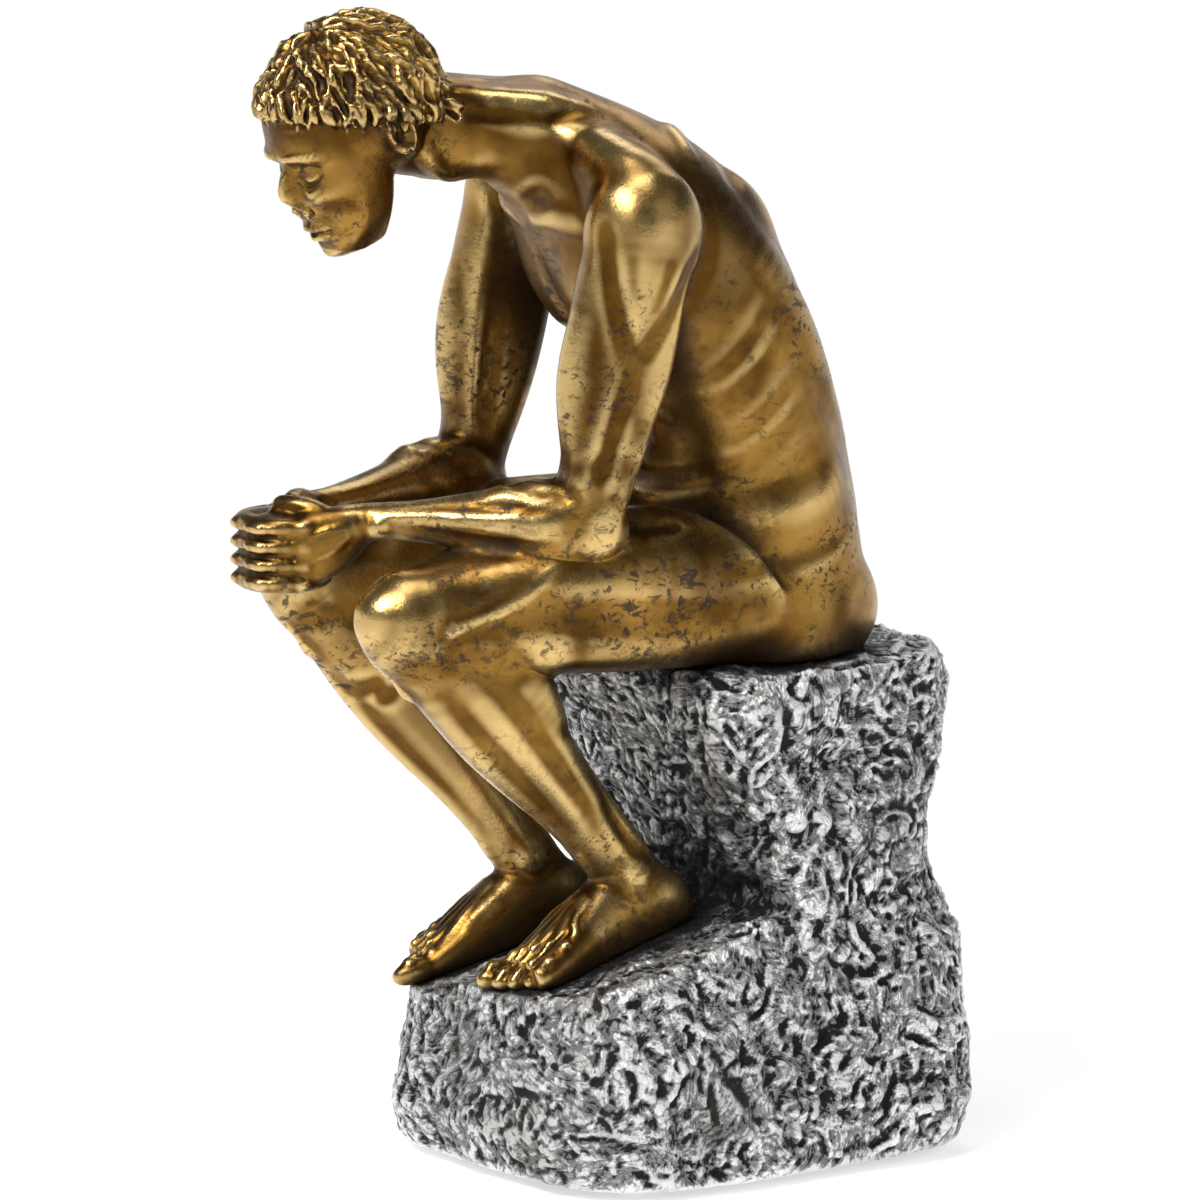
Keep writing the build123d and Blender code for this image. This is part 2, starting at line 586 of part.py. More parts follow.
for name, side in (("left", 1), ("right", -1)):
    sole = sole_plane(side)
    for piece in ("torso", name + "_arm"):
        seam = to_side(SHOULDER_SEAM.origin, side)
        made[piece] = bored(made[piece], seam, SHOULDER_SEAM.z_dir, SHOULDER_DOWEL)
    for piece in ("torso", name + "_leg"):
        seam = to_side(HIP_SEAM.origin, side)
        made[piece] = bored(made[piece], seam, to_side(THIGH_AIM, side), HIP_DOWEL)
    for piece in ("hands", name + "_arm"):
        made[piece] = bored(made[piece], to_side(WRIST, side), to_side(FOREARM_AIM, side), WRIST_DOWEL)
    made[name + "_leg"] = bored(made[name + "_leg"], sole.origin, sole.z_dir, FOOT_DOWEL)
    rock = bored(rock, sole.origin, sole.z_dir, FOOT_DOWEL)

made["rock_base"] = rock
made["base_board"] = board
made["board_screws"] = screws
made["rubber_feet"] = feet

# The finished piece is centred over the origin and stands on z = 0
boxes = [shape.bounding_box() for shape in made.values()]
left_most, right_most = min(box.min.X for box in boxes), max(box.max.X for box in boxes)
front_most, back_most = min(box.min.Y for box in boxes), max(box.max.Y for box in boxes)
shift = Pos(-(left_most + right_most) / 2, -(front_most + back_most) / 2, 0)
os.makedirs("parts", exist_ok=True)
for name, shape in made.items():
    export_step(shift * shape, f"parts/{name}.step")
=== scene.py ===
"""Antique gold figure seated in thought on a rough silver rock.

The figure's castings are fused into one skin, modelled like clay with strokes laid on that skin,
and parted again along their seams. The rock is chiselled and the underside is finished.
All modelling lengths are in millimetres from the seat bolt's axis at table level.
"""

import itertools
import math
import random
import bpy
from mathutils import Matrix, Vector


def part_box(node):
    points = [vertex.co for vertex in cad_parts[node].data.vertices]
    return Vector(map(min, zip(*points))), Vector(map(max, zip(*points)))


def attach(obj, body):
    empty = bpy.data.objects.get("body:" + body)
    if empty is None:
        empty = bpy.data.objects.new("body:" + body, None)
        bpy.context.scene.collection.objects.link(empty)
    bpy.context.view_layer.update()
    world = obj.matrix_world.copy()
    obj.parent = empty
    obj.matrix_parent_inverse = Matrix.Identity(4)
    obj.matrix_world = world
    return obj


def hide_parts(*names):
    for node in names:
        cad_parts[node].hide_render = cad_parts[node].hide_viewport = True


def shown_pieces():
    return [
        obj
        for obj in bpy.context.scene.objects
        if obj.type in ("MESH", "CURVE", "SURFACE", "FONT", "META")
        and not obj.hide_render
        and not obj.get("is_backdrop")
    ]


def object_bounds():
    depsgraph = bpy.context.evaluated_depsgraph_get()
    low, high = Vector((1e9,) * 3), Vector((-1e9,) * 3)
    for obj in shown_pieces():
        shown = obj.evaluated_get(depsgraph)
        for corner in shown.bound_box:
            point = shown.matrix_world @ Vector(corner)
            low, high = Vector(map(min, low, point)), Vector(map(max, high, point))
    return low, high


bl_info = {
    "name": "Seated Figure Ornament",
    "version": (1, 0, 0),
    "blender": (4, 5, 0),
    "location": "View3D > Sidebar > Ornament",
    "description": "Models and finishes a gold figure on a silver rock over its construction model",
    "category": "Object",
}

import bmesh
import bpy
import numpy as np
from bpy.props import FloatProperty, FloatVectorProperty, IntProperty, PointerProperty
from bpy.types import Operator, Panel, PropertyGroup
from mathutils import Matrix, Vector
from mathutils.bvhtree import BVHTree
from mathutils.kdtree import KDTree

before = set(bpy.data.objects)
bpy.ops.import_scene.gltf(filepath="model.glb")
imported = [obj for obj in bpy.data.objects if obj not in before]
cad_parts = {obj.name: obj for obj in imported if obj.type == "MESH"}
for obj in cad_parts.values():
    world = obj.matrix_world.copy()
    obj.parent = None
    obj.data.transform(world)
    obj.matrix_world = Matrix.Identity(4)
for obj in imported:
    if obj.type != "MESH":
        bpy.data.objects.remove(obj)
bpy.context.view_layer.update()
BODY = "root"
CASTINGS = ["torso", "head", "left_arm", "right_arm", "hands", "left_leg", "right_leg"]
STEEL_NODES = [
    "board_screws", "neck_dowel", "shoulder_dowels", "wrist_dowels", "hip_dowels", "foot_dowels",
    "seat_bolt", "seat_washer",
]

BOLT_LOW, BOLT_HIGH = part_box("seat_bolt")
BOLT_AXIS = np.array([(BOLT_LOW[0] + BOLT_HIGH[0]) / 2, (BOLT_LOW[1] + BOLT_HIGH[1]) / 2, 0.0])

# Depth of the lip behind a seam and room over the board, in metres
SEAM_LIP = 0.0015
BOARD_CLEARANCE = 0.0003

FORWARD = np.array([0.0, -1.0, 0.0])
UP = np.array([0.0, 0.0, 1.0])


def heading(turn, drop):
    """Unit vector that looks forward, turned to the figure's left and dropped by degrees."""
    a, d = math.radians(turn), math.radians(drop)
    return np.array([math.sin(a) * math.cos(d), -math.cos(a) * math.cos(d), -math.sin(d)])


def unit(v):
    return v / np.linalg.norm(v)


# Joints of the castings' left side; the right side mirrors them
SEAT = 114.0
THIGH_AIM = heading(9.0, 1.5)
HIP = np.array([17.0, -2.0, SEAT + 17.0])
KNEE = HIP + THIGH_AIM * 84.0
SHOULDER = np.array([36.0, -32.0, SEAT + 102.0])
ELBOW = SHOULDER + heading(2.0, 79.3) * 67.5
WRIST = ELBOW + heading(-30.0, 1.0) * 49.0
KNUCKLE = WRIST + heading(-14.0, 24.0) * 18.0
FIST = KNUCKLE * np.array([0.0, 1.0, 1.0])
FINGER_PITCH = 4.1
SHIN_SLOPE = {1: 42.0, -1: 36.0}
SHIN_TUCK = 7.0
SHIN_LENGTH = 86.0
ANKLE_RISE = 13.0
TOE_OUT = 6.0
FOOT_PITCH = 16.0
FOOT_LENGTH = 49.0
HEEL_BACK = 11.5
TOE_ROW_WIDTH = 14.0
HEAD = np.array([0.0, -86.0, SEAT + 121.0])
FACING = heading(8.0, 30.0)
HEAD_LEFT = heading(98.0, 0.0)
HEAD_UP = np.cross(FACING, HEAD_LEFT)
SKULL = HEAD - FACING * 1.6 + HEAD_UP * 4.2
SKULL_RADII = np.array([17.9, 21.9, 19.7])
HAIR_REACH = 24.5
EDGE_LOCKS = 110
NECK_SHARES = np.linspace(0, 1, 14)[:, None]

# Axis of the trunk: forward, height over the seat, tilt
TRUNK = np.array([
    (-4.5, -5.0, 0.0),
    (-4.5, 14.0, 0.0),
    (-5.0, 32.0, 3.0),
    (-3.0, 50.0, 12.0),
    (3.5, 68.0, 22.0),
    (13.5, 86.0, 29.0),
    (24.5, 101.0, 36.0),
    (35.0, 111.0, 46.0),
    (42.5, 115.5, 54.0),
    (48.5, 119.0, 60.0),
])


def toward(turn, rise):
    """Unit vector from the object to a place round it, turned from the front and raised by radians."""
    return Vector((math.sin(turn) * math.cos(rise), -math.cos(turn) * math.cos(rise), math.sin(rise)))


def to_side(v, side):
    """The left side's vector, or its mirror image for side -1."""
    return np.array([v[0] * side, v[1], v[2]])


def ankle(side):
    slope, tuck = math.radians(SHIN_SLOPE[side]), math.radians(SHIN_TUCK)
    down = unit(np.array([-math.sin(tuck), math.sin(slope), -math.cos(slope)]))
    return to_side(KNEE + down * SHIN_LENGTH, side)


def smooth_line(stations, steps):
    """Evenly divided Catmull-Rom curve through the stations."""
    p = np.asarray(stations, float)
    if len(p) == 1:
        return p
    p = np.vstack([2 * p[0] - p[1], p, 2 * p[-1] - p[-2]])
    line = []
    for k in range(1, len(p) - 2):
        a, b, c, d = p[k - 1 : k + 3]
        for t in np.linspace(0, 1, steps, endpoint=False):
            bend, twist = 2 * a - 5 * b + 4 * c - d, 3 * b - a - 3 * c + d
            line.append(0.5 * (2 * b + (c - a) * t + bend * t**2 + twist * t**3))
    line.append(p[-2])
    return np.array(line)


def read(items, key, width=1, kind=np.int64):
    """One property of all of a mesh's items, as an array with a row for each if it has several values."""
    flat = np.empty(len(items) * width, dtype=kind)
    items.foreach_get(key, flat)
    return flat.reshape(-1, width) if width > 1 else flat


def places(mesh):
    """Vertices in millimetres from the bolt's axis."""
    return (read(mesh.vertices, "co", 3, float) - BOLT_AXIS) * 1000


class Clay:
    """A mesh held as arrays, with a surface to aim at and strokes that raise or sink it."""

    # Side of a search cell, how far strokes may carry a vertex from its cell, length of a cast
    CELL = 8.0
    DRIFT = 5.0
    REACH = 60.0

    def __init__(self, obj):
        self.obj = obj
        mesh = obj.data
        self.at = places(mesh)
        self.edges = read(mesh.edges, "vertices", 2)
        self.count = len(self.at)
        self.degree = np.bincount(self.edges.ravel(), minlength=self.count).clip(1)
        self.tree = None
        self.cut = 1.0
        self.measure()

    def store(self):
        self.obj.data.vertices.foreach_set("co", (self.at / 1000 + BOLT_AXIS).ravel())
        self.obj.data.update()

    def measure(self):
        """Puts the arrays on the mesh and reads its normals again."""
        self.store()
        self.normals = read(self.obj.data.vertex_normals, "vector", 3, np.float32).astype(float)

    def aim(self):
        """Keeps the present surface for casts and nearest points, and sorts its vertices into cells."""
        faces = [tuple(p.vertices) for p in self.obj.data.polygons]
        self.tree = BVHTree.FromPolygons(self.at.tolist(), faces)
        cells = np.floor(self.at / self.CELL).astype(int)
        order = np.lexsort(cells.T)
        cells = cells[order]
        first = np.flatnonzero(np.append(True, (np.diff(cells, axis=0) != 0).any(1)))
        self.cells = dict(zip(map(tuple, cells[first].tolist()), np.split(order, first[1:])))

    def around(self, low, high):
        """Vertices inside a box."""
        ends = np.floor(np.array([low - self.DRIFT, high + self.DRIFT]) / self.CELL).astype(int).T
        keys = itertools.product(*(range(a, b + 1) for a, b in ends))
        held = [self.cells[key] for key in keys if key in self.cells]
        near = np.concatenate(held) if held else np.empty(0, dtype=int)
        place = self.at[near]
        return near[((place > low) & (place < high)).all(1)]

    def mean(self, values):
        """Mean of each vertex's neighbours."""
        i, j = self.edges[:, 0], self.edges[:, 1]
        values = values.reshape(self.count, -1)
        total = np.empty_like(values)
        for k in range(values.shape[1]):
            total[:, k] = np.bincount(i, values[j, k], self.count)
            total[:, k] += np.bincount(j, values[i, k], self.count)
        return total / self.degree[:, None]

    def relax(self, rounds, amount=0.5):
        for _ in range(rounds):
            self.at += (self.mean(self.at) - self.at) * np.reshape(amount, (-1, 1))

    def meet(self, start, direction, reach, origin):
        """First surface met from start along direction, or else the nearest to origin, and its normal."""
        hit, normal, _, _ = self.tree.ray_cast(Vector(start), Vector(direction), reach)
        if hit is None:
            hit, normal, _, _ = self.tree.find_nearest(Vector(origin))
        return np.array(hit), np.array(normal)

    def cast(self, origin, direction):
        """Outermost point of the surface from origin along direction, with its normal."""
        return self.meet(origin + direction * self.REACH, -direction, self.REACH, origin)

    def inner_cast(self, origin, direction):
        """First surface met going out from origin along direction."""
        return self.meet(origin, direction, self.REACH, origin)

    def snap(self, points):
        found = [self.tree.find_nearest(Vector(p)) for p in points]
        return np.array([f[0] for f in found]), np.array([f[1] for f in found])

    def stroke(self, path, width, height, sharp=False, taper=True, power=2.0):
        """Raises (or sinks, if height is negative) a band along a path of points and normals."""
        points, normals = path
        n = len(points)
        height = height * self.cut if height < 0 else height
        widths = np.interp(np.linspace(0, 1, n), np.linspace(0, 1, np.size(width)), np.atleast_1d(width))
        share = np.linspace(0, 1, n)
        heights = np.full(n, float(height))
        if taper and n > 1:
            heights = height * np.sin(np.pi * (0.02 + 0.96 * share)) ** 0.7
        reach = widths.max()
        low, high = points.min(0) - reach, points.max(0) + reach
        near = self.around(low, high)
        if not len(near):
            return
        place, facing = self.at[near], self.normals[near]
        lift = np.zeros(len(near))
        for k in range(max(n - 1, 1)):
            m = min(k + 1, n - 1)
            span = points[m] - points[k]
            along = np.zeros(len(near))
            if m > k and span @ span > 1e-9:
                along = ((place - points[k]) @ span / (span @ span)).clip(0, 1)
            gap = np.linalg.norm(place - points[k] - along[:, None] * span, axis=1)
            part = gap / (widths[k] + (widths[m] - widths[k]) * along)
            inside = (part < 1) & (facing @ normals[k] > 0.1)
            shape = (1 - part.clip(0, 1)) ** 1.5 if sharp else (1 - part.clip(0, 1) ** 2) ** power
            rise = np.where(inside, shape * (heights[k] + (heights[m] - heights[k]) * along), 0)
            lift = np.where(np.abs(rise) > np.abs(lift), rise, lift)
        self.at[near] += facing * lift[:, None]

    def recess(self, weights=(1.5, 0.75, 0.45)):
        """How far each vertex lies in a hollow: 0 on ridges, 0.5 on plain skin, 1 in deep creases."""
        self.measure()
        soft = self.at.copy()
        depth = np.zeros(self.count)
        done = 0
        for rounds, weight in zip((3, 12, 40), weights):
            for _ in range(rounds - done):
                soft += (self.mean(soft) - soft) * 0.6
            done = rounds
            depth += weight * ((soft - self.at) * self.normals).sum(1)
        return (0.5 + depth).clip(0, 1)


class Surface:
    """Part of the skin on one side of the figure, with its own way to give the address of a spot."""

    def __init__(self, clay, side):
        self.clay, self.side = clay, side

    def path(self, *stations, steps=6):
        spots = [self.spot(*s) for s in smooth_line(stations, steps)]
        return np.array([s[0] for s in spots]), np.array([s[1] for s in spots])


class Limb(Surface):
    """Addresses on a limb: share of its length, and degrees from its front round to its outer side."""

    def __init__(self, clay, start, end, front, side):
        super().__init__(clay, side)
        self.start, self.end = to_side(start, side), to_side(end, side)
        axis = unit(self.end - self.start)
        self.front = unit(front - axis * (front @ axis))
        self.out = np.cross(self.front, axis)
        if self.out[0] * side < 0:
            self.out = -self.out

    def spot(self, share, degrees):
        a = math.radians(degrees)
        direction = self.front * math.cos(a) + self.out * math.sin(a)
        return self.clay.inner_cast(self.start + (self.end - self.start) * share, direction)


class Trunk(Surface):
    """Addresses on the trunk: height over the seat, and degrees from the front round to one side."""

    def spot(self, height, degrees):
        forward = np.interp(height, TRUNK[:, 1], TRUNK[:, 0])
        tilt = math.radians(np.interp(height, TRUNK[:, 1], TRUNK[:, 2]))
        a = math.radians(degrees)
        front = np.array([0.0, -math.cos(tilt), -math.sin(tilt)])
        direction = front * math.cos(a) + np.array([self.side, 0.0, 0.0]) * math.sin(a)
        return self.clay.inner_cast(np.array([0.0, -forward, SEAT + height]), direction)


class Face(Surface):
    """Addresses on the face: millimetres to one side of the middle and above the eye line."""

    def spot(self, sideways, up):
        origin = HEAD + HEAD_LEFT * (sideways * self.side) + HEAD_UP * up
        return self.clay.cast(origin, FACING)


class Scalp(Surface):
    """Addresses on the skull: degrees round from the front to one side, and degrees above the ears."""

    def spot(self, turn, rise):
        a, e = math.radians(turn), math.radians(rise)
        flat = FACING * math.cos(a) + HEAD_LEFT * (math.sin(a) * self.side)
        return self.clay.inner_cast(SKULL, flat * math.cos(e) + HEAD_UP * math.sin(e))


class Instep(Surface):
    """Addresses on the top of a foot: share of its length from the heel, and millimetres outward."""

    def __init__(self, clay, side):
        super().__init__(clay, side)
        self.aim = heading(TOE_OUT * side, FOOT_PITCH)
        self.across = heading(TOE_OUT * side + 90, 0)
        self.normal = np.cross(self.aim, self.across)
        self.heel = ankle(side) - self.normal * ANKLE_RISE - self.aim * HEEL_BACK

    def toes(self):
        return self.heel + self.aim * (FOOT_LENGTH * 0.85) + self.normal * 3.0

    def spot(self, share, outward):
        origin = self.heel + self.aim * (FOOT_LENGTH * share) + self.across * (outward * self.side)
        return self.clay.meet(origin + self.normal * 26, -self.normal, 30, origin)


def skin_copy(name, nodes, fillings):
    """One object made of merged copies of CAD nodes and of rounded fillings between them."""
    bm = bmesh.new()
    for centre, radii in fillings:
        place = Matrix.LocRotScale(Vector(centre / 1000 + BOLT_AXIS), None, Vector(radii) / 1000)
        bmesh.ops.create_uvsphere(bm, u_segments=32, v_segments=16, radius=1.0, matrix=place)
    for node in nodes:
        bm.from_mesh(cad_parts[node].data)
    bmesh.ops.remove_doubles(bm, verts=bm.verts[:], dist=1e-6)
    mesh = bpy.data.meshes.new(name)
    bm.to_mesh(mesh)
    bm.free()
    obj = bpy.data.objects.new(name, mesh)
    bpy.context.scene.collection.objects.link(obj)
    return obj


def apply_modifiers(obj):
    graph = bpy.context.evaluated_depsgraph_get()
    shaped = bpy.data.meshes.new_from_object(
        obj.evaluated_get(graph), preserve_all_data_layers=True, depsgraph=graph
    )
    obj.modifiers.clear()
    old = obj.data
    obj.data = shaped
    bpy.data.meshes.remove(old)


def separated(obj, kind):
    """Objects that the mesh falls into, by loose parts or by material."""
    bpy.ops.object.select_all(action="DESELECT")
    obj.select_set(True)
    bpy.context.view_layer.objects.active = obj
    bpy.ops.object.mode_set(mode="EDIT")
    bpy.ops.mesh.select_all(action="SELECT")
    bpy.ops.mesh.separate(type=kind)
    bpy.ops.object.mode_set(mode="OBJECT")
    return list(bpy.context.selected_objects)


def close_rims(bm, move):
    """Draws every open rim out, moves its new vertices and fills what is left open."""
    rims = [e for e in bm.edges if e.is_boundary]
    for v in bmesh.ops.extrude_edge_only(bm, edges=rims)["geom"]:
        if isinstance(v, bmesh.types.BMVert):
            move(v)
    bmesh.ops.holes_fill(bm, edges=[e for e in bm.edges if e.is_boundary], sides=0)


def outer_shell(obj):
    """Drops every loose shell but the largest."""
    shells = sorted(separated(obj, "LOOSE"), key=lambda o: len(o.data.vertices))
    for shell in shells[:-1]:
        bpy.data.meshes.remove(shell.data)
    return shells[-1]


def fused(name, nodes, voxel, fillings=()):
    obj = skin_copy(name, nodes, fillings)
    remesh = obj.modifiers.new("Skin", "REMESH")
    remesh.mode = "VOXEL"
    remesh.voxel_size = voxel
    apply_modifiers(obj)
    obj = outer_shell(obj)
    obj.name = name
    return obj


def thinned(obj, triangles):
    """Collapses the least needed edges until the mesh has at most so many triangles."""
    obj.data.calc_loop_triangles()
    share = triangles / len(obj.data.loop_triangles)
    if share < 1:
        obj.modifiers.new("Thin", "DECIMATE").ratio = share
        apply_modifiers(obj)


def put_attribute(mesh, name, values):
    layer = mesh.attributes.new(name, "FLOAT", "POINT")
    layer.data.foreach_set("value", np.asarray(values, dtype=np.float32))


def finish_piece(obj, nodes):
    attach(obj, BODY)
    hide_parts(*nodes)


# Strokes that model the figure, by what they make: stations, width or widths along the stroke, height
MIDDLE_STROKES = {
    "furrow of the spine": ([(14, 180), (40, 180), (70, 180), (96, 180)], (5.0, 8.0, 7.0), -1.3),
    "cleft of the seat": ([(17, 180), (8, 180), (-3, 180)], (3.0, 4.5, 5.0), -2.8),
    "groove of the breastbone": ([(80, 0), (92, 0), (104, 0)], 4.0, -1.0),
    "middle line of the belly": ([(48, 0), (62, 0), (78, 0)], 4.0, -0.9),
    "upper belly fold": ([(46, -75), (43, -35), (42, 0), (43, 35), (46, 75)], 3.6, -1.5),
    "middle belly fold": ([(37, -60), (34, -30), (33, 0), (34, 30), (37, 60)], 3.4, -1.3),
    "lower belly fold": ([(28, -50), (25, 0), (28, 50)], 4.0, -1.2),
}

BACK_STROKES = {
    "muscle beside the spine": ([(20, 164), (32, 160), (50, 158), (74, 160)], (5.0, 9.0, 10.0, 7.0), 1.2),
    "buttock": ([(5, 148)], 17.0, 2.2),
    "shoulder blade": ([(90, 150)], 14.0, 1.9),
    "inner edge of the blade": ([(104, 162), (92, 160), (78, 154)], 5.5, -0.9),
    "ridge of the blade": ([(104, 165), (106, 140), (104, 118)], 4.2, 1.3),
    "hollow under the ridge": ([(97, 150), (96, 128)], 4.5, -0.9),
    "broad back muscle": ([(86, 116), (72, 122), (57, 132), (42, 146)], (8.0, 10.0, 6.0), 1.7),
    "hollow beside it": ([(70, 150), (55, 152), (44, 160)], 4.0, -0.8),
    "dimple over the hip": ([(24, 160)], 6.0, -1.1),
}

CHEST_STROKES = {
    "crease of the waist": ([(30, 122), (25, 95), (23, 66)], 4.0, -1.2),
    "muscle over the waist": ([(39, 118), (35, 95), (34, 70)], 7.5, 1.6),
    "chest muscle": ([(92, 36)], 16.0, 1.6),
    "lower edge of the chest": ([(83, 5), (80, 25), (82, 45), (90, 60)], 4.2, -1.5),
    "nipple": ([(84, 38)], 2.0, 0.7),
    "arch of the ribs": ([(76, 8), (68, 28), (60, 46)], 4.5, 1.0),
    "upper belly step": ([(66, 2), (65, 22)], 3.0, -0.7),
    "lower belly step": ([(56, 2), (55, 24)], 3.0, -0.7),
    "collarbone": ([(109, 10), (111, 36), (107, 68)], (3.4, 4.6, 5.0), 1.0),
    "hollow over the collarbone": ([(113, 32), (114, 52)], 5.0, -1.5),
}

UPPER_ARM_STROKES = {
    "shoulder muscle": ([(-0.02, 75), (0.18, 82), (0.36, 86)], (10.0, 11.0, 7.0), 1.3),
    "its front edge": ([(0.0, 22), (0.24, 48), (0.46, 78)], 3.6, -1.2),
    "its rear edge": ([(0.04, 150), (0.28, 126), (0.46, 98)], 3.6, -1.2),
    "its front parting": ([(0.1, 62), (0.3, 72)], 2.6, -0.5),
    "its rear parting": ([(0.1, 110), (0.3, 102)], 2.6, -0.5),
    "biceps": ([(0.34, 12), (0.55, 5), (0.76, 3)], (6.0, 8.5, 6.0), 1.6),
    "outer groove": ([(0.5, 88), (0.74, 76), (0.92, 64)], 3.4, -1.1),
    "triceps": ([(0.28, 140), (0.46, 132), (0.62, 130)], (6.0, 8.0, 5.0), 1.5),
    "groove of the triceps": ([(0.35, 172), (0.55, 170)], 3.0, -0.8),
    "flat tendon": ([(0.62, 160), (0.8, 172), (0.96, 178)], 5.0, -0.7),
    "inner groove": ([(0.4, -60), (0.65, -70), (0.9, -75)], 3.6, -1.0),
    "point of the elbow": ([(1.02, 180)], 6.0, 1.2),
    "outer knob of the elbow": ([(0.98, 95)], 5.5, 0.6),
    "crook of the elbow": ([(0.92, -45), (0.94, 0), (0.91, 40)], 3.0, -1.0),
}

FOREARM_STROKES = {
    "thumb side muscle": ([(-0.04, 38), (0.2, 42), (0.46, 30)], (5.0, 6.5, 4.0), 1.3),
    "back muscle": ([(0.12, 88), (0.36, 88), (0.62, 80)], (4.5, 5.5, 3.0), 1.0),
    "groove between them": ([(0.1, 64), (0.42, 61), (0.72, 55)], 2.4, -0.85),
    "outer groove": ([(0.1, 118), (0.5, 112), (0.82, 106)], 2.4, -0.85),
    "edge of the bone": ([(0.1, 142), (0.5, 136), (0.9, 128)], 2.6, 0.7),
    "knob of the wrist": ([(0.95, 105)], 3.2, 1.1),
    "thumb tendon": ([(0.62, 30), (0.8, 36), (0.97, 34)], 1.7, 0.35),
    "finger tendon": ([(0.6, 70), (0.8, 68), (0.97, 66)], 1.7, 0.35),
    "long vein": ([(0.05, 20), (0.2, 55), (0.4, 75), (0.6, 62), (0.9, 75)], 1.2, 0.25),
    "short vein": ([(0.3, 95), (0.5, 98), (0.7, 88), (0.85, 84)], 1.1, 0.2),
}

THIGH_STROKES = {
    "front muscle": ([(0.3, 12), (0.55, 9), (0.8, 5)], (7.0, 9.5, 6.0), 1.3),
    "outer muscle": ([(0.28, 66), (0.58, 58), (0.84, 46)], (11.0, 12.0, 7.0), 1.4),
    "groove between them": ([(0.3, 36), (0.6, 30), (0.86, 20)], 5.0, -0.6),
    "outer groove": ([(0.16, 104), (0.5, 92), (0.92, 76)], 6.5, -1.0),
    "rear muscle": ([(0.25, 128), (0.65, 122), (0.95, 112)], (7.0, 8.0, 5.0), 1.2),
    "muscle over the inner knee": ([(0.7, -38), (0.8, -36), (0.88, -32)], (6.0, 8.0, 6.0), 1.8),
    "inner groove": ([(0.25, -50), (0.5, -42), (0.72, -16)], 3.6, -0.9),
    "inner rear groove": ([(0.25, -95), (0.55, -90), (0.9, -85)], 4.0, -0.8),
}

SHIN_STROKES = {
    "knee tendon": ([(0.02, 2), (0.08, 2), (0.14, 3)], 3.4, 0.9),
    "bump under the knee": ([(0.14, 3)], 4.2, 1.1),
    "outer knee hollow": ([(0.05, 46)], 6.5, -0.7),
    "inner knee hollow": ([(0.05, -46)], 6.5, -0.7),
    "edge of the shin": ([(0.16, 5), (0.5, 2), (0.86, -4)], 4.4, 0.9),
    "inner flat": ([(0.2, -26), (0.55, -24), (0.85, -26)], 5.0, -0.5),
    "shin muscle": ([(0.16, 36), (0.4, 32), (0.64, 24)], (6.0, 7.5, 4.5), 1.0),
    "groove behind it": ([(0.18, 64), (0.5, 60), (0.78, 54)], 4.2, -0.75),
    "outer muscle": ([(0.2, 86), (0.5, 86), (0.72, 88)], (5.5, 6.5, 4.5), 0.7),
    "groove before the calf": ([(0.16, 114), (0.5, 108), (0.84, 108)], 4.4, -0.85),
    "outer calf": ([(0.08, 150), (0.28, 150), (0.46, 152)], (7.0, 9.0, 6.0), 1.5),
    "inner calf": ([(0.08, 212), (0.3, 212), (0.5, 208)], (7.0, 9.5, 6.0), 1.7),
    "parting of the calf": ([(0.12, 180), (0.3, 180), (0.5, 180)], 3.8, -1.0),
    "lower edge of the calf": ([(0.48, 140), (0.56, 180), (0.54, 218)], 3.6, -1.1),
    "heel tendon": ([(0.62, 180), (0.8, 180), (0.98, 180)], 3.8, 1.5),
    "outer hollow beside it": ([(0.74, 146), (0.86, 140), (0.97, 134)], 3.4, -1.2),
    "inner hollow beside it": ([(0.74, 214), (0.86, 220), (0.97, 226)], 3.4, -1.2),
    "outer ankle knob": ([(0.96, 96)], 5.6, 1.2),
    "inner ankle knob": ([(0.94, 272)], 5.6, 1.1),
}
# Each rib from the top: swelling, shift upward, degrees from the front where it ends
RIBS = [(0.16, 0.0, 58), (0.28, 0.8, 50), (0.2, -0.5, 60), (0.24, 0.6, 54), (0.12, 0.0, 66)]


def lay(surface, strokes, depth):
    """Lays named strokes on one part of the skin, each with its stations, width and height."""
    for stations, width, height in strokes.values():
        surface.clay.stroke(surface.path(*stations), width, height * depth)


def model_trunk(clay, depth):
    middle = Trunk(clay, 1)
    lay(middle, MIDDLE_STROKES, depth)
    for k in range(7):
        clay.stroke(middle.path((92 - 9 * k, 180)), 2.6, 0.4 * depth)
    for side in (1, -1):
        trunk = Trunk(clay, side)
        lay(trunk, BACK_STROKES, depth)
        for k, (swelling, shift, fore) in enumerate(RIBS):
            top = 82 - 7.4 * k + shift
            rib = trunk.path((top - 1, 110), (top - 5, 95), (top - 10, 74), (top - 9, fore))
            clay.stroke(rib, 3.6, swelling * depth)
            gap = trunk.path((top - 4.5, 103), (top - 8.7, 92), (top - 13.5, fore + 12))
            clay.stroke(gap, 2.8, -swelling * depth)
        lay(trunk, CHEST_STROKES, depth)


def model_arm(clay, side, depth):
    lay(Limb(clay, SHOULDER, ELBOW, FORWARD, side), UPPER_ARM_STROKES, depth)
    lay(Limb(clay, ELBOW, WRIST, UP, side), FOREARM_STROKES, depth)


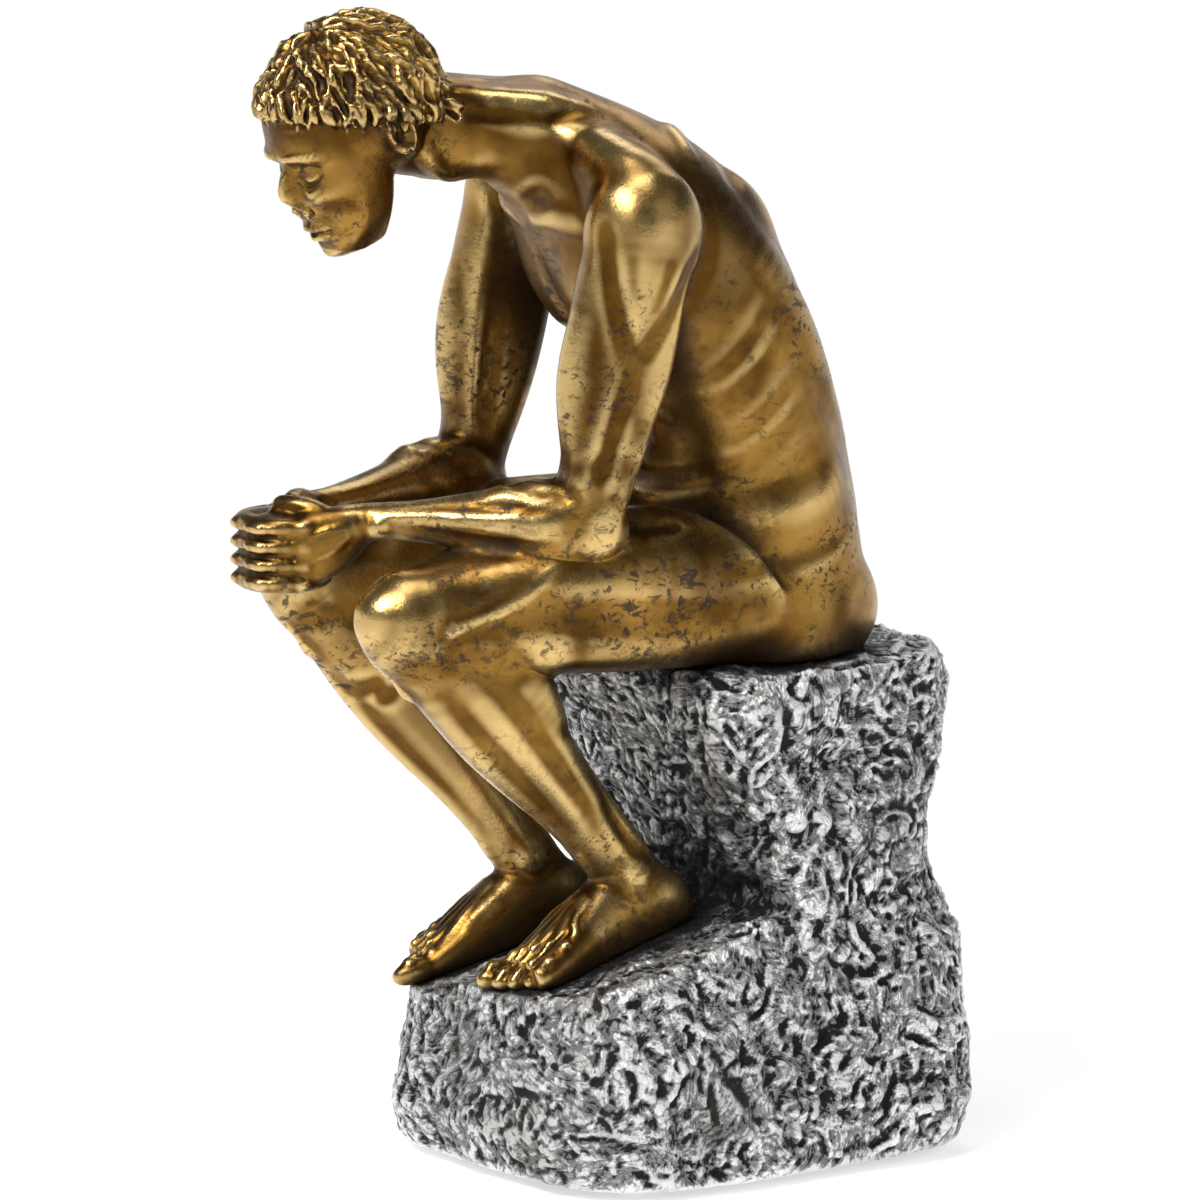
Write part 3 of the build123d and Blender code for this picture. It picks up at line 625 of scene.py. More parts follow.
def model_leg(clay, side, depth):
    foot_joint = to_side(ankle(side), side)
    lay(Limb(clay, HIP, KNEE, UP, side), THIGH_STROKES, depth)
    knee, drop = to_side(KNEE, side), unit(ankle(side) - to_side(KNEE, side))
    aim = to_side(THIGH_AIM, side)
    cap = clay.inner_cast(knee, unit(aim * 0.85 - drop * 0.35))
    clay.stroke((cap[0][None], cap[1][None]), 9.0, 1.3 * depth)
    lay(Limb(clay, KNEE, foot_joint, FORWARD, side), SHIN_STROKES, depth)
    foot = Instep(clay, side)
    for k in range(5):
        share = k / 4
        outward = (-0.44 + share) * TOE_ROW_WIDTH
        reach = 0.93 - 0.14 * share**1.6
        tendon = foot.path((0.42, outward * 0.25), (0.6, outward * 0.6), (reach - 0.14, outward))
        clay.stroke(tendon, 1.5, 0.55 * depth)
        clay.stroke(foot.path((reach - 0.08, outward)), 2.0, 0.5 * depth)
        clay.stroke(foot.path((reach + 0.03, outward)), 2.6, (0.9 if k == 0 else 0.6) * depth)
        if k < 4:
            gap = outward + TOE_ROW_WIDTH / 8
            parting = foot.path((reach - 0.19, gap), (reach - 0.06, gap), (reach + 0.06, gap))
            clay.stroke(parting, 1.2, -1.3 * depth)
        tip = reach + 0.055
        nail = foot.path((tip, outward - 0.7), (reach + 0.04, outward), (tip, outward + 0.7))
        clay.stroke(nail, 0.9, -0.4 * depth)
    clay.stroke(foot.path((0.5, -6.0), (0.66, -5.5)), 4.0, 0.8 * depth)


def model_hands(clay, depth):
    wide = KNUCKLE[0]
    for k in range(4):
        row = FIST + UP * (1.5 - k) * FINGER_PITCH
        for x, y, width, height in (
            (wide + 2.4, 1.0, 3.0, 0.7),
            (wide + 1.6, -4.2, 2.2, -0.15),
            (wide - 0.6, -8.6, 2.6, 0.55),
            (wide * 0.3, -9.8, 2.2, -0.15),
            (-wide * 0.45, -9.8, 2.4, 0.45),
            (-wide - 0.5, -7.0, 2.2, 0.35),
        ):
            clay.stroke(clay.snap([row + np.array([x, y, 0.0])]), width, height * depth)
        for x, y in ((wide - 0.6, -8.6), (-wide * 0.45, -9.8)):
            crease = clay.snap([row + np.array([x, y, z]) for z in (-1.6, 0.0, 1.6)])
            clay.stroke(crease, 0.7, -0.3 * depth)
        tip = row + np.array([-wide - 3.2, -2.0, 0.0])
        nail = clay.snap([tip + UP * 1.1, tip + np.array([-0.4, 0.8, 0.0]), tip - UP * 1.1])
        clay.stroke(nail, 0.9, -0.4 * depth)
        if k < 3:
            seam = row - UP * FINGER_PITCH / 2
            line = [(wide + 2.5, -0.5), (wide, -6.5), (3.0, -9.5)]
            line += [(-3.0, -9.5), (-wide, -7.0), (-wide - 3.0, -2.0)]
            gap = clay.snap([seam + np.array([x, y, 0.0]) for x, y in smooth_line(line, 4)])
            clay.stroke(gap, 1.1, -0.5 * depth)
    for side in (1, -1):
        hand = Limb(clay, WRIST, KNUCKLE, UP, side)
        for degrees in (55, 75, 95, 115):
            tendon = hand.path((0.3, 80 + (degrees - 85) * 0.5), (0.6, degrees), (0.9, degrees))
            clay.stroke(tendon, 1.4, 0.5 * depth)
        clay.stroke(hand.path((0.02, 20), (0.02, 70), (0.02, 120)), 1.6, -0.25 * depth)
        clay.stroke(hand.path((0.12, 30), (0.14, 75), (0.12, 120)), 1.4, -0.2 * depth)


def finer(obj, centre, radius):
    """Splits every edge of the skin within a radius of a point."""
    middle = Vector(centre / 1000 + BOLT_AXIS)
    bm = bmesh.new()
    bm.from_mesh(obj.data)
    inside = {v.index for v in bm.verts if (v.co - middle).length < radius / 1000}
    edges = [e for e in bm.edges if e.verts[0].index in inside and e.verts[1].index in inside]
    bmesh.ops.subdivide_edges(bm, edges=edges, cuts=1, use_grid_fill=True)
    bm.to_mesh(obj.data)
    bm.free()


# Relief of the face: to the side, up, half width, half height, height; all but the middle ones are paired
FACE_RELIEF = [
    (0.0, 4.8, 3.0, 2.2, 0.5),
    (0.0, 1.4, 2.6, 2.2, -0.9),
    (0.0, -2.4, 1.5, 3.6, 1.1),
    (0.0, -8.2, 2.6, 2.4, -1.3),
    (2.5, -9.5, 1.2, 1.3, 1.4),
    (0.0, -12.6, 4.0, 1.2, -0.5),
    (6.6, -0.8, 4.4, 3.2, -3.4),
    (5.0, 4.0, 4.0, 1.4, 1.3),
    (9.4, 2.8, 2.6, 1.5, 0.9),
    (6.6, -1.2, 2.5, 2.0, 1.9),
    (9.2, -5.8, 3.6, 2.4, 1.3),
    (9.6, -13.0, 4.0, 4.6, -1.9),
    (0.0, -14.2, 5.0, 4.4, 0.7),
    (1.7, -14.0, 2.3, 0.8, 0.9),
    (0.0, -16.6, 2.9, 1.0, 1.3),
    (0.0, -19.0, 3.8, 1.1, -1.0),
    (0.0, -22.2, 5.2, 3.0, 3.0),
    (7.0, -20.0, 3.8, 3.4, 1.5),
    (12.6, 4.5, 3.0, 5.0, -0.8),
]
# Relief of an ear: forward, up, half width, half height, height
EAR_RELIEF = [
    (-1.6, -2.0, 1.3, 1.7, -1.7),
    (-1.2, 1.6, 0.8, 1.5, -0.9),
    (-2.6, 0.0, 0.5, 2.6, 0.6),
    (0.9, -1.8, 0.6, 0.9, 0.8),
    (-1.2, -5.4, 1.3, 1.3, 0.7),
]


def swell(x, y, form):
    across, up, half_width, half_height, height = form
    return height * np.exp(-(((x - across) / half_width) ** 2) - ((y - up) / half_height) ** 2)


def model_face(clay, depth):
    near = np.flatnonzero(np.linalg.norm(clay.at - HEAD, axis=1) < 34)
    local = clay.at[near] - HEAD
    sideways, forward, up = local @ HEAD_LEFT, local @ FACING, local @ HEAD_UP
    front = (clay.normals[near] @ FACING * 2.2).clip(0, 1) * (forward > 3) * (1 - (up - 9) / 4).clip(0, 1)
    push = np.zeros(len(near))
    for form in FACE_RELIEF:
        push += swell(np.abs(sideways), up, form) if form[0] else swell(sideways, up, form)
    clay.at[near] += FACING * (push * front * depth)[:, None]
    ear = ((np.abs(sideways) - 14.6) / 1.6).clip(0, 1) * (np.hypot((forward + 2) / 4.4, (up + 1) / 6.6) < 1)
    push = np.zeros(len(near))
    for form in EAR_RELIEF:
        push += swell(forward, up, form)
    rim = np.hypot((forward + 2) / 3.0, (up + 0.8) / 5.0)
    push += 1.0 * np.exp(-(((rim - 1) / 0.2) ** 2)) * ((up > -3.0) | (forward < -2.0))
    clay.at[near] += (HEAD_LEFT[None] * np.sign(sideways)[:, None]) * (push * ear * depth)[:, None]
    clay.measure()
    clay.aim()
    middle = Face(clay, 1)
    lips = [(-5.0, -15.5), (-2.4, -15.0), (-0.8, -15.2), (0, -15.35)]
    lips += [(-x, y) for x, y in lips[2::-1]]
    clay.stroke(middle.path(*lips, steps=3), 0.85, -0.8 * depth)
    clay.stroke(middle.path((0, -11.6), (0, -13.2)), 1.1, -0.35 * depth)
    for side in (1, -1):
        face = Face(clay, side)
        lashes = face.path((3.8, -1.6), (5.2, -2.6), (6.8, -2.9), (8.4, -2.4), (9.7, -1.2))
        clay.stroke(lashes, 0.8, -0.65 * depth)
        lid = face.path((3.9, -0.2), (5.3, 1.0), (7.0, 1.3), (8.8, 0.7), (10.0, -0.4))
        clay.stroke(lid, 0.8, -0.5 * depth)
        clay.stroke(face.path((4.4, -3.9), (6.8, -4.9), (9.3, -3.7)), 1.2, 0.3 * depth)
        clay.stroke(face.path((3.9, -8.0), (4.3, -9.6), (3.2, -11.0)), 0.9, -0.6 * depth)
        clay.stroke(face.path((4.8, -10.2), (6.2, -13.0), (6.6, -16.2)), 1.7, -0.5 * depth)
        clay.stroke(face.path((5.3, -15.5)), 1.3, -0.5 * depth)
        for k in range(9):
            along = 2.0 + k * 0.95
            lift = 3.6 + 1.0 * math.sin(math.pi * (k + 1) / 10)
            clay.stroke(face.path((along, lift - 0.5), (along + 0.9, lift + 0.5)), 0.7, 0.17 * depth)
        nostril = HEAD + HEAD_LEFT * (1.5 * side) + FACING * 23.4 - HEAD_UP * 11.2
        clay.stroke(clay.snap([nostril]), 1.0, -0.9 * depth)


def model_neck(clay, depth):
    for side in (1, -1):
        mastoid = HEAD + HEAD_LEFT * (13.5 * side) - FACING * 6.0 - HEAD_UP * 6.0
        notch = np.array([2.5 * side, -62.0, SEAT + 101.0])
        clay.stroke(clay.snap(mastoid + (notch - mastoid) * NECK_SHARES), 3.4, 1.4 * depth)
        nape = HEAD + HEAD_LEFT * (6.5 * side) - FACING * 18.0 - HEAD_UP * 4.0
        root = np.array([12.0 * side, -34.0, SEAT + 122.0])
        cord = clay.snap(nape + (root - nape) * NECK_SHARES)
        clay.stroke(cord, 4.5, 1.2 * depth)
        clay.stroke(clay.snap(cord[0] + HEAD_LEFT * (5.0 * side)), 4.0, -0.9 * depth)
        slope = [
            nape - FACING * 8.0,
            np.array([20.0 * side, -42.0, SEAT + 120.0]),
            np.array([31.0 * side, -34.0, SEAT + 112.0]),
        ]
        clay.stroke(clay.snap(smooth_line(slope, 6)), 10.0, 2.4 * depth)


def hairline(turn):
    """Rise on the skull, in degrees, of the edge of the hair at a turn from the front."""
    rise = np.radians(np.arange(-70, 70))
    a = math.radians(turn)
    way = np.stack([np.cos(rise) * math.sin(a), np.cos(rise) * math.cos(a), np.sin(rise)], 1)
    reach = 1 / np.linalg.norm(way / SKULL_RADII, axis=1)
    over = 4.2 + reach * way[:, 2] - 12.6 - (reach * way[:, 1] - 18.1) * math.tan(math.radians(32))
    return math.degrees(rise[np.argmax(over > 0)])


def lock(clay, path, width, height):
    """One lock of hair, kept to the skull."""
    points, normals = path
    kept = np.linalg.norm(points - SKULL, axis=1) < HAIR_REACH
    if kept.sum() > 1:
        clay.stroke((points[kept], normals[kept]), width, height)


def model_hair(clay, locks, depth):
    rng = random.Random(11)
    edges = [hairline(turn) for turn in range(181)]
    for k in range(locks):
        scalp = Scalp(clay, 1 if k % 2 else -1)
        turn, rise = rng.uniform(0, 180), math.degrees(math.asin(rng.uniform(-0.75, 1.0)))
        edge = edges[int(turn)]
        if rise < edge + 3:
            continue
        step, sway = rng.uniform(8, 14), rng.uniform(-8, 8)
        sway /= max(math.cos(math.radians(rise)), 0.35)
        path = scalp.path(
            (turn - sway, min(rise + step, 88)),
            (turn + sway * 0.5, rise),
            (turn + sway, max(rise - step, edge - 2)),
            steps=3,
        )
        widths = (rng.uniform(0.7, 1.1), rng.uniform(1.2, 1.8), 0.7)
        lock(clay, path, widths, rng.choice((0.75, 0.6, -0.75, -0.9)) * depth)
    for k in range(EDGE_LOCKS):
        scalp = Scalp(clay, 1 if k % 2 else -1)
        turn = 180 * (k + rng.uniform(0.1, 0.9)) / EDGE_LOCKS
        edge, sway = edges[int(turn)], rng.uniform(-5, 5)
        if k % 3:
            end = edge - rng.uniform(2, 7)
            path = scalp.path((turn - sway, edge + 14), (turn, edge + 4), (turn + sway, end), steps=3)
            lock(clay, path, (1.0, 1.5, 0.6), rng.uniform(0.7, 1.2) * depth)
        else:
            path = scalp.path((turn - sway, edge + 12), (turn, edge + 3), (turn + sway, edge - 3), steps=3)
            lock(clay, path, (0.7, 1.1, 1.1), -1.3 * depth)


def casting_tree(names):
    """Search tree over the triangles of CAD nodes, and the index of the node that each belongs to."""
    points, triangles, owner = [], [], []
    for index, name in enumerate(names):
        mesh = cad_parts[name].data
        start = len(points)
        points += places(mesh).tolist()
        triangles += [tuple(start + i for i in p.vertices) for p in mesh.polygons]
        owner += [index] * len(mesh.polygons)
    return BVHTree.FromPolygons(points, triangles), owner


def seam_labels(clay):
    """Index of the casting that each face of the skin belongs to."""
    tree, owner = casting_tree(CASTINGS)
    start = read(clay.obj.data.polygons, "loop_start")
    corner = read(clay.obj.data.loops, "vertex_index")
    centres = (clay.at[corner[start]] + clay.at[corner[start + 2]]) / 2
    return np.array([owner[tree.find_nearest(Vector(c))[2]] for c in centres], dtype=np.int32)


def seam_band(clay, labels, pairs, rounds):
    """Weight that is 1 on the seams between pairs of castings and fades out beside them."""
    corner = read(clay.obj.data.loops, "vertex_index")
    around = np.repeat(labels, read(clay.obj.data.polygons, "loop_total"))
    weight = np.zeros(clay.count)
    for one, other in pairs:
        touch = np.zeros((2, clay.count), dtype=bool)
        touch[0, corner[around == CASTINGS.index(one)]] = True
        touch[1, corner[around == CASTINGS.index(other)]] = True
        weight[touch.all(0)] = 1
    for _ in range(rounds):
        weight = np.maximum(weight, clay.mean(weight)[:, 0] * 1.6).clip(0, 1)
    for _ in range(rounds):
        weight = clay.mean(weight)[:, 0]
    return weight


def painted_shade(clay, reach):
    """Painted shade: share of the sky that the castings and the rock hide from each vertex, and how far it
    faces down, which darkens the colour there.
    """
    tree, _ = casting_tree(CASTINGS + ["rock_base"])
    rng = np.random.default_rng(3)
    rays = rng.normal(size=(28, 3))
    rays /= np.linalg.norm(rays, axis=1)[:, None]
    picks = np.arange(0, clay.count, max(clay.count // 12000, 1))
    spots = KDTree(len(picks))
    hidden = np.empty(len(picks))
    for k, index in enumerate(picks):
        place, normal = clay.at[index], clay.normals[index]
        start = Vector(place + normal * 2.2)
        total = 0.0
        for ray in rays:
            ray = unit(normal * 1.05 + ray)
            distance = tree.ray_cast(start, Vector(ray), reach)[3]
            total += 0 if distance is None else 1 - distance / reach
        hidden[k] = total / len(rays)
        spots.insert(Vector(place), k)
    spots.balance()
    value = hidden[[spots.find(Vector(p))[1] for p in clay.at]]
    for _ in range(14):
        value = clay.mean(value)[:, 0]
    down = (-clay.normals[:, 2]).clip(0, 1)
    for _ in range(6):
        down = clay.mean(down)[:, 0]
    return (1.5 * value + 0.3 * down).clip(0, 1)


def parted(obj):
    """Splits the skin by material index into one closed object per casting, keeping the fused normals."""
    found = {piece.data.materials[0].name: piece for piece in separated(obj, "MATERIAL")}
    for piece in found.values():
        bm = bmesh.new()
        bm.from_mesh(piece.data)
        facing = bm.verts.layers.float_vector["fused_normal"]

        def sink(v):
            v.co -= v[facing] * SEAM_LIP

        close_rims(bm, sink)
        for face in bm.faces:
            face.material_index = 0
        bm.to_mesh(piece.data)
        bm.free()
        piece.data.shade_smooth()
        layer = piece.data.attributes["fused_normal"]
        normals = read(layer.data, "vector", 3, np.float32)
        piece.data.normals_split_custom_set_from_vertices(normals.tolist())
        piece.data.attributes.remove(piece.data.attributes["fused_normal"])
    return found


# Materials


class Nodes:
    """Short hand for laying out a node tree."""

    def __init__(self, material):
        material.use_nodes = True
        self.tree = material.node_tree
        self.tree.nodes.clear()

    def add(self, kind, inputs=None, **settings):
        node = self.tree.nodes.new(kind)
        for key, value in settings.items():
            setattr(node, key, value)
        for key, value in (inputs or {}).items():
            if isinstance(value, bpy.types.NodeSocket):
                self.tree.links.new(value, node.inputs[key])
            else:
                node.inputs[key].default_value = value
        return node

    def noise(self, vector, scale, detail=4.0, roughness=0.55, distortion=0.0):
        return self.add("ShaderNodeTexNoise", {
            "Vector": vector, "Scale": scale, "Detail": detail,
            "Roughness": roughness, "Distortion": distortion,
        }).outputs["Fac"]

    def span(self, value, low, high, to_low=0.0, to_high=1.0):
        return self.add("ShaderNodeMapRange", {
            "Value": value, "From Min": low, "From Max": high, "To Min": to_low, "To Max": to_high,
        }, interpolation_type="SMOOTHSTEP").outputs["Result"]

    def math(self, operation, a, b):
        return self.add("ShaderNodeMath", {0: a, 1: b}, operation=operation).outputs[0]

    def swing(self, value, amount):
        """A noise's departure from its middle, times an amount."""
        return self.math("MULTIPLY", self.math("SUBTRACT", value, 0.5), amount)

    def stretched(self, vector, turn, scale):
        inputs = {"Vector": vector, "Rotation": turn, "Scale": scale}
        return self.add("ShaderNodeMapping", inputs).outputs[0]

    def own(self, name):
        """An attribute that the piece carries."""
        return self.add("ShaderNodeAttribute", attribute_name=name).outputs["Fac"]

    def mix(self, factor, a, b):
        node = self.add("ShaderNodeMix", {"Factor": factor}, data_type="RGBA")
        for socket, value in ((node.inputs[6], a), (node.inputs[7], b)):
            if isinstance(value, bpy.types.NodeSocket):
                self.tree.links.new(value, socket)
            else:
                socket.default_value = (*value, 1.0)
        return node.outputs[2]

    def surface(self, **inputs):
        named = {key.replace("_", " "): value for key, value in inputs.items()}
        shader = self.add("ShaderNodeBsdfPrincipled", named)
        out = self.add("ShaderNodeOutputMaterial")
        self.tree.links.new(shader.outputs[0], out.inputs[0])


def object_space(nodes):
    return nodes.add("ShaderNodeTexCoord").outputs["Object"]


def stirred(nodes, place, scale, amount):
    """Coordinates pushed about by coarse noise, which bends a pattern laid on them."""
    coarse = {"Vector": place, "Scale": scale, "Detail": 2.0}
    drift = nodes.add("ShaderNodeTexNoise", coarse).outputs["Color"]
    push = nodes.add("ShaderNodeVectorMath", {0: drift, "Scale": amount}, operation="SCALE").outputs[0]
    return nodes.add("ShaderNodeVectorMath", {0: place, 1: push}, operation="ADD").outputs[0]


def antique_gold(finish):
    material = bpy.data.materials.new("antique_gold")
    n = Nodes(material)
    place = object_space(n)
    recess = n.own("recess")
    shade = n.own("painted_shade")
    cloud = n.noise(place, 45, 3)
    grain = n.noise(place, 420, 5, 0.65)
    speck = n.noise(place, 1500, 3, 0.6)
    tone = n.mix(n.span(cloud, 0.35, 0.68), finish.deep, finish.bright)
    ridge = n.span(recess, 0.47, 0.2)
    tone = n.mix(n.math("MULTIPLY", ridge, 0.7), tone, finish.rubbed)
    ragged = n.swing(grain, 0.5)
    # Painted shade: the colour darkens toward the patina brown where parts hide the sky and on downward
    # faces
    shade_wash = n.span(n.math("ADD", shade, ragged), 0.08, 0.78)
    tone = n.mix(n.math("MULTIPLY", shade_wash, 0.9), tone, finish.patina_and_shade)
    hollow = n.span(n.math("ADD", recess, ragged), 0.56, 0.92)
    tone = n.mix(n.math("MULTIPLY", hollow, 0.92), tone, finish.patina_and_shade)
    patch = n.span(n.noise(place, 34, 3, 0.6), 0.47, 0.62)
    streak = n.stretched(place, (0.5, 0.3, 0.4), (240, 520, 620))
    smear = n.span(n.noise(streak, 1.0, 6, 0.72, 0.5), 0.52, 0.6)
    brushed = n.stretched(place, (0.2, 0.9, 0.5), (110, 330, 420))
    smudge = n.span(n.noise(brushed, 1.0, 6, 0.72, 0.6), 0.5, 0.6)
    cluster = n.span(n.noise(place, 18, 2, 0.5), 0.50, 0.62)
    worn = n.math("MAXIMUM", n.math("MULTIPLY", patch, smear), n.math("MULTIPLY", cluster, smudge))
    worn = n.math("MULTIPLY", worn, finish.speckle)
    tone = n.mix(worn, tone, finish.black)
    dark = n.math("MAXIMUM", n.math("MAXIMUM", hollow, worn), n.math("MULTIPLY", shade_wash, 0.7))
    rough = n.span(dark, 0, 1, finish.roughness, 0.6)
    rough = n.math("ADD", rough, n.swing(grain, 0.2))
    rough = n.math("SUBTRACT", rough, n.math("MULTIPLY", ridge, 0.06))
    metal = n.span(dark, 0, 1, 1.0, 0.6)
    height = n.math("ADD", n.math("MULTIPLY", grain, 0.6), n.math("MULTIPLY", speck, 0.4))
    bump = n.add("ShaderNodeBump", {"Height": height, "Strength": 0.2, "Distance": 0.0007})
    n.surface(Base_Color=tone, Roughness=rough, Metallic=metal, Normal=bump.outputs[0])
    return material


def hewn_silver(finish):
    material = bpy.data.materials.new("hewn_silver")
    n = Nodes(material)
    place = object_space(n)
    recess = n.own("recess")
    shade = n.own("painted_shade")
    folds = n.noise(stirred(n, place, 150, 0.012), 420, 4, 0.6)
    dash = n.stretched(stirred(n, place, 40, 0.03), (0.6, 0.7, 0.3), (320, 820, 820))
    speck = n.noise(dash, 1.0, 3, 0.55, 0.4)
    fine = n.noise(place, 2000, 3, 0.6)
    crease = n.math("ABSOLUTE", n.math("SUBTRACT", folds, 0.5), 0.0)
    fold_line = n.span(crease, 0.0, 0.03, 1.0, 0.0)
    depth = n.math("ADD", recess, n.swing(speck, 0.95))
    depth = n.math("ADD", depth, n.swing(folds, 0.5))
    depth = n.math("ADD", depth, n.math("MULTIPLY", fold_line, 0.16))
    tone = n.mix(n.span(depth, 0.28, 0.50), finish.ridge, finish.middle)
    tone = n.mix(n.span(depth, 0.58, 0.69), tone, finish.crevice_and_shade)
    stain = n.math("MULTIPLY", n.span(n.noise(place, 36, 3), 0.45, 0.7), 0.35)
    tone = n.mix(stain, tone, finish.stain)
    ragged = n.swing(speck, 0.5)
    # Painted shade: the colour darkens toward the crevice black where the figure and rock hide the sky and
    # on downward faces
    shade_wash = n.span(n.math("ADD", shade, ragged), 0.16, 0.7)
    tone = n.mix(n.math("MULTIPLY", shade_wash, 0.9), tone, finish.crevice_and_shade)
    rough = n.span(depth, 0.25, 0.75, finish.roughness, 0.65)
    metal = n.span(depth, 0.4, 0.8, 0.95, 0.5)
    height = n.math("ADD", n.math("MULTIPLY", folds, 0.7), n.math("MULTIPLY", speck, 0.55))
    height = n.math("SUBTRACT", height, n.math("MULTIPLY", fold_line, 0.1))
    height = n.math("ADD", height, n.math("MULTIPLY", fine, 0.08))
    bump = n.add("ShaderNodeBump", {"Height": height, "Strength": 0.9, "Distance": 0.0014})
    n.surface(Base_Color=tone, Roughness=rough, Metallic=metal, Normal=bump.outputs[0])
    return material


def grained_wood():
    material = bpy.data.materials.new("stained_board")
    n = Nodes(material)
    place = n.stretched(object_space(n), (0, 0, 0), (60, 6, 60))
    grain = n.noise(place, 3.0, 6, 0.6, 0.8)
    tone = n.mix(n.span(grain, 0.3, 0.7), (0.035, 0.022, 0.014), (0.10, 0.062, 0.038))
    bump = n.add("ShaderNodeBump", {"Height": grain, "Strength": 0.2, "Distance": 0.0005})
    n.surface(Base_Color=tone, Roughness=n.span(grain, 0.2, 0.8, 0.5, 0.7), Normal=bump.outputs[0])
    return material


def soft_rubber():
    material = bpy.data.materials.new("black_rubber")
    n = Nodes(material)
    grain = n.noise(object_space(n), 1400, 3)
    tone = n.mix(grain, (0.012, 0.012, 0.013), (0.035, 0.035, 0.036))
    bump = n.add("ShaderNodeBump", {"Height": grain, "Strength": 0.2, "Distance": 0.0003})
    n.surface(Base_Color=tone, Roughness=n.span(grain, 0.2, 0.8, 0.7, 0.9), Normal=bump.outputs[0])
    return material


def turned_metal(name, dull, bright):
    material = bpy.data.materials.new(name)
    n = Nodes(material)
    place = n.stretched(object_space(n), (0, 0, 0), (200, 200, 2600))
    lines = n.noise(place, 1.0, 3)
    tone = n.mix(n.span(lines, 0.3, 0.7), dull, bright)
    n.surface(Base_Color=tone, Metallic=1.0, Roughness=n.span(lines, 0.2, 0.8, 0.25, 0.45))
    return material


def dress(obj, material):
    obj.data.materials.clear()
    obj.data.materials.append(material)


# Settings


class FigureSettings(PropertyGroup):
    voxel: FloatProperty(
        name="Skin grain", description="Edge length of the modelled skin",
        default=0.00062, unit="LENGTH",
    )
    depth: FloatProperty(
        name="Modelling depth", description="Strength of muscles, folds and creases",
        default=1.0, min=0, max=2,
    )
    crease: FloatProperty(
        name="Crease share", description="Depth of the body's furrows against its swellings",
        default=0.7, min=0, max=1,
    )
    locks: IntProperty(name="Locks of hair", description="Strokes laid over the scalp", default=900)
    bright: FloatVectorProperty(
        name="Gold", description="Clean gold",
        default=(0.35, 0.19, 0.040), subtype="COLOR",
    )
    deep: FloatVectorProperty(
        name="Deep gold", description="Darker clouds in the gold",
        default=(0.11, 0.050, 0.008), subtype="COLOR",
    )
    rubbed: FloatVectorProperty(
        name="Rubbed gold", description="Raised places",
        default=(0.86, 0.61, 0.25), subtype="COLOR",
    )
    # Brown of the real patina in the hollows, also used as painted shade where parts hide the sky and on
    # downward faces
    patina_and_shade: FloatVectorProperty(
        name="Patina", description="Brown in the hollows",
        default=(0.042, 0.021, 0.007), subtype="COLOR",
    )
    black: FloatVectorProperty(
        name="Speckle", description="Black wear",
        default=(0.02, 0.016, 0.012), subtype="COLOR",
    )
    speckle: FloatProperty(
        name="Speckle amount", description="Share of the wear that shows",
        default=0.8, min=0, max=1,
    )
    roughness: FloatProperty(
        name="Gold roughness", description="Sheen of the clean gold",
        default=0.31, min=0, max=1,
    )


class RockSettings(PropertyGroup):
    voxel: FloatProperty(
        name="Rock grain", description="Edge length of the hewn skin",
        default=0.0006, unit="LENGTH",
    )
    triangles: IntProperty(
        name="Triangles", description="Most triangles that the finished rock keeps",
        default=190000,
    )
    chips: IntProperty(name="Chips", description="Small chips over the rock", default=5200)
    gouges: IntProperty(name="Gouges", description="Curved strokes of a broad tool", default=420)
    dashes: IntProperty(name="Dashes", description="Short flicks of a narrow tool", default=4500)
    bite: FloatProperty(
        name="Chip depth", description="Depth of a small chip",
        default=0.00032, unit="LENGTH",
    )
    lump: FloatProperty(
        name="Lump height", description="Height of the broad lumps",
        default=0.0006, unit="LENGTH",
    )
    ridge: FloatVectorProperty(
        name="Silver", description="Bright ridges",
        default=(0.90, 0.90, 0.89), subtype="COLOR",
    )
    middle: FloatVectorProperty(
        name="Grey", description="Slopes between ridges",
        default=(0.30, 0.30, 0.30), subtype="COLOR",
    )
    # Black of the real crevices, also used as painted shade where the figure and rock hide the sky and on
    # downward faces
    crevice_and_shade: FloatVectorProperty(
        name="Crevice", description="Black hollows",
        default=(0.012, 0.012, 0.013), subtype="COLOR",
    )
    stain: FloatVectorProperty(
        name="Stain", description="Brownish clouds",
        default=(0.10, 0.085, 0.07), subtype="COLOR",
    )
    roughness: FloatProperty(
        name="Silver roughness", description="Sheen of the ridges",
        default=0.36, min=0, max=1,
    )


class StageSettings(PropertyGroup):
    azimuth: FloatProperty(
        name="Azimuth", description="Side that the camera sees",
        default=math.radians(68), unit="ROTATION",
    )
    elevation: FloatProperty(
        name="Elevation", description="Camera angle over the table",
        default=math.radians(10), unit="ROTATION",
    )
    distance: FloatProperty(name="Distance", description="Camera distance", default=2.2, unit="LENGTH")
    left: FloatProperty(
        name="Left edge", description="Picture share left of the object",
        default=230 / 1200,
    )
    right: FloatProperty(
        name="Right edge", description="Picture share at the object's right",
        default=972 / 1200,
    )
    top: FloatProperty(name="Top edge", description="Picture share above the object", default=5 / 1200)
    bottom: FloatProperty(
        name="Bottom edge", description="Picture share at the object's foot",
        default=1195 / 1200,
    )


class OrnamentSettings(PropertyGroup):
    figure: PointerProperty(type=FigureSettings)
    rock: PointerProperty(type=RockSettings)
    stage: PointerProperty(type=StageSettings)


# Operators


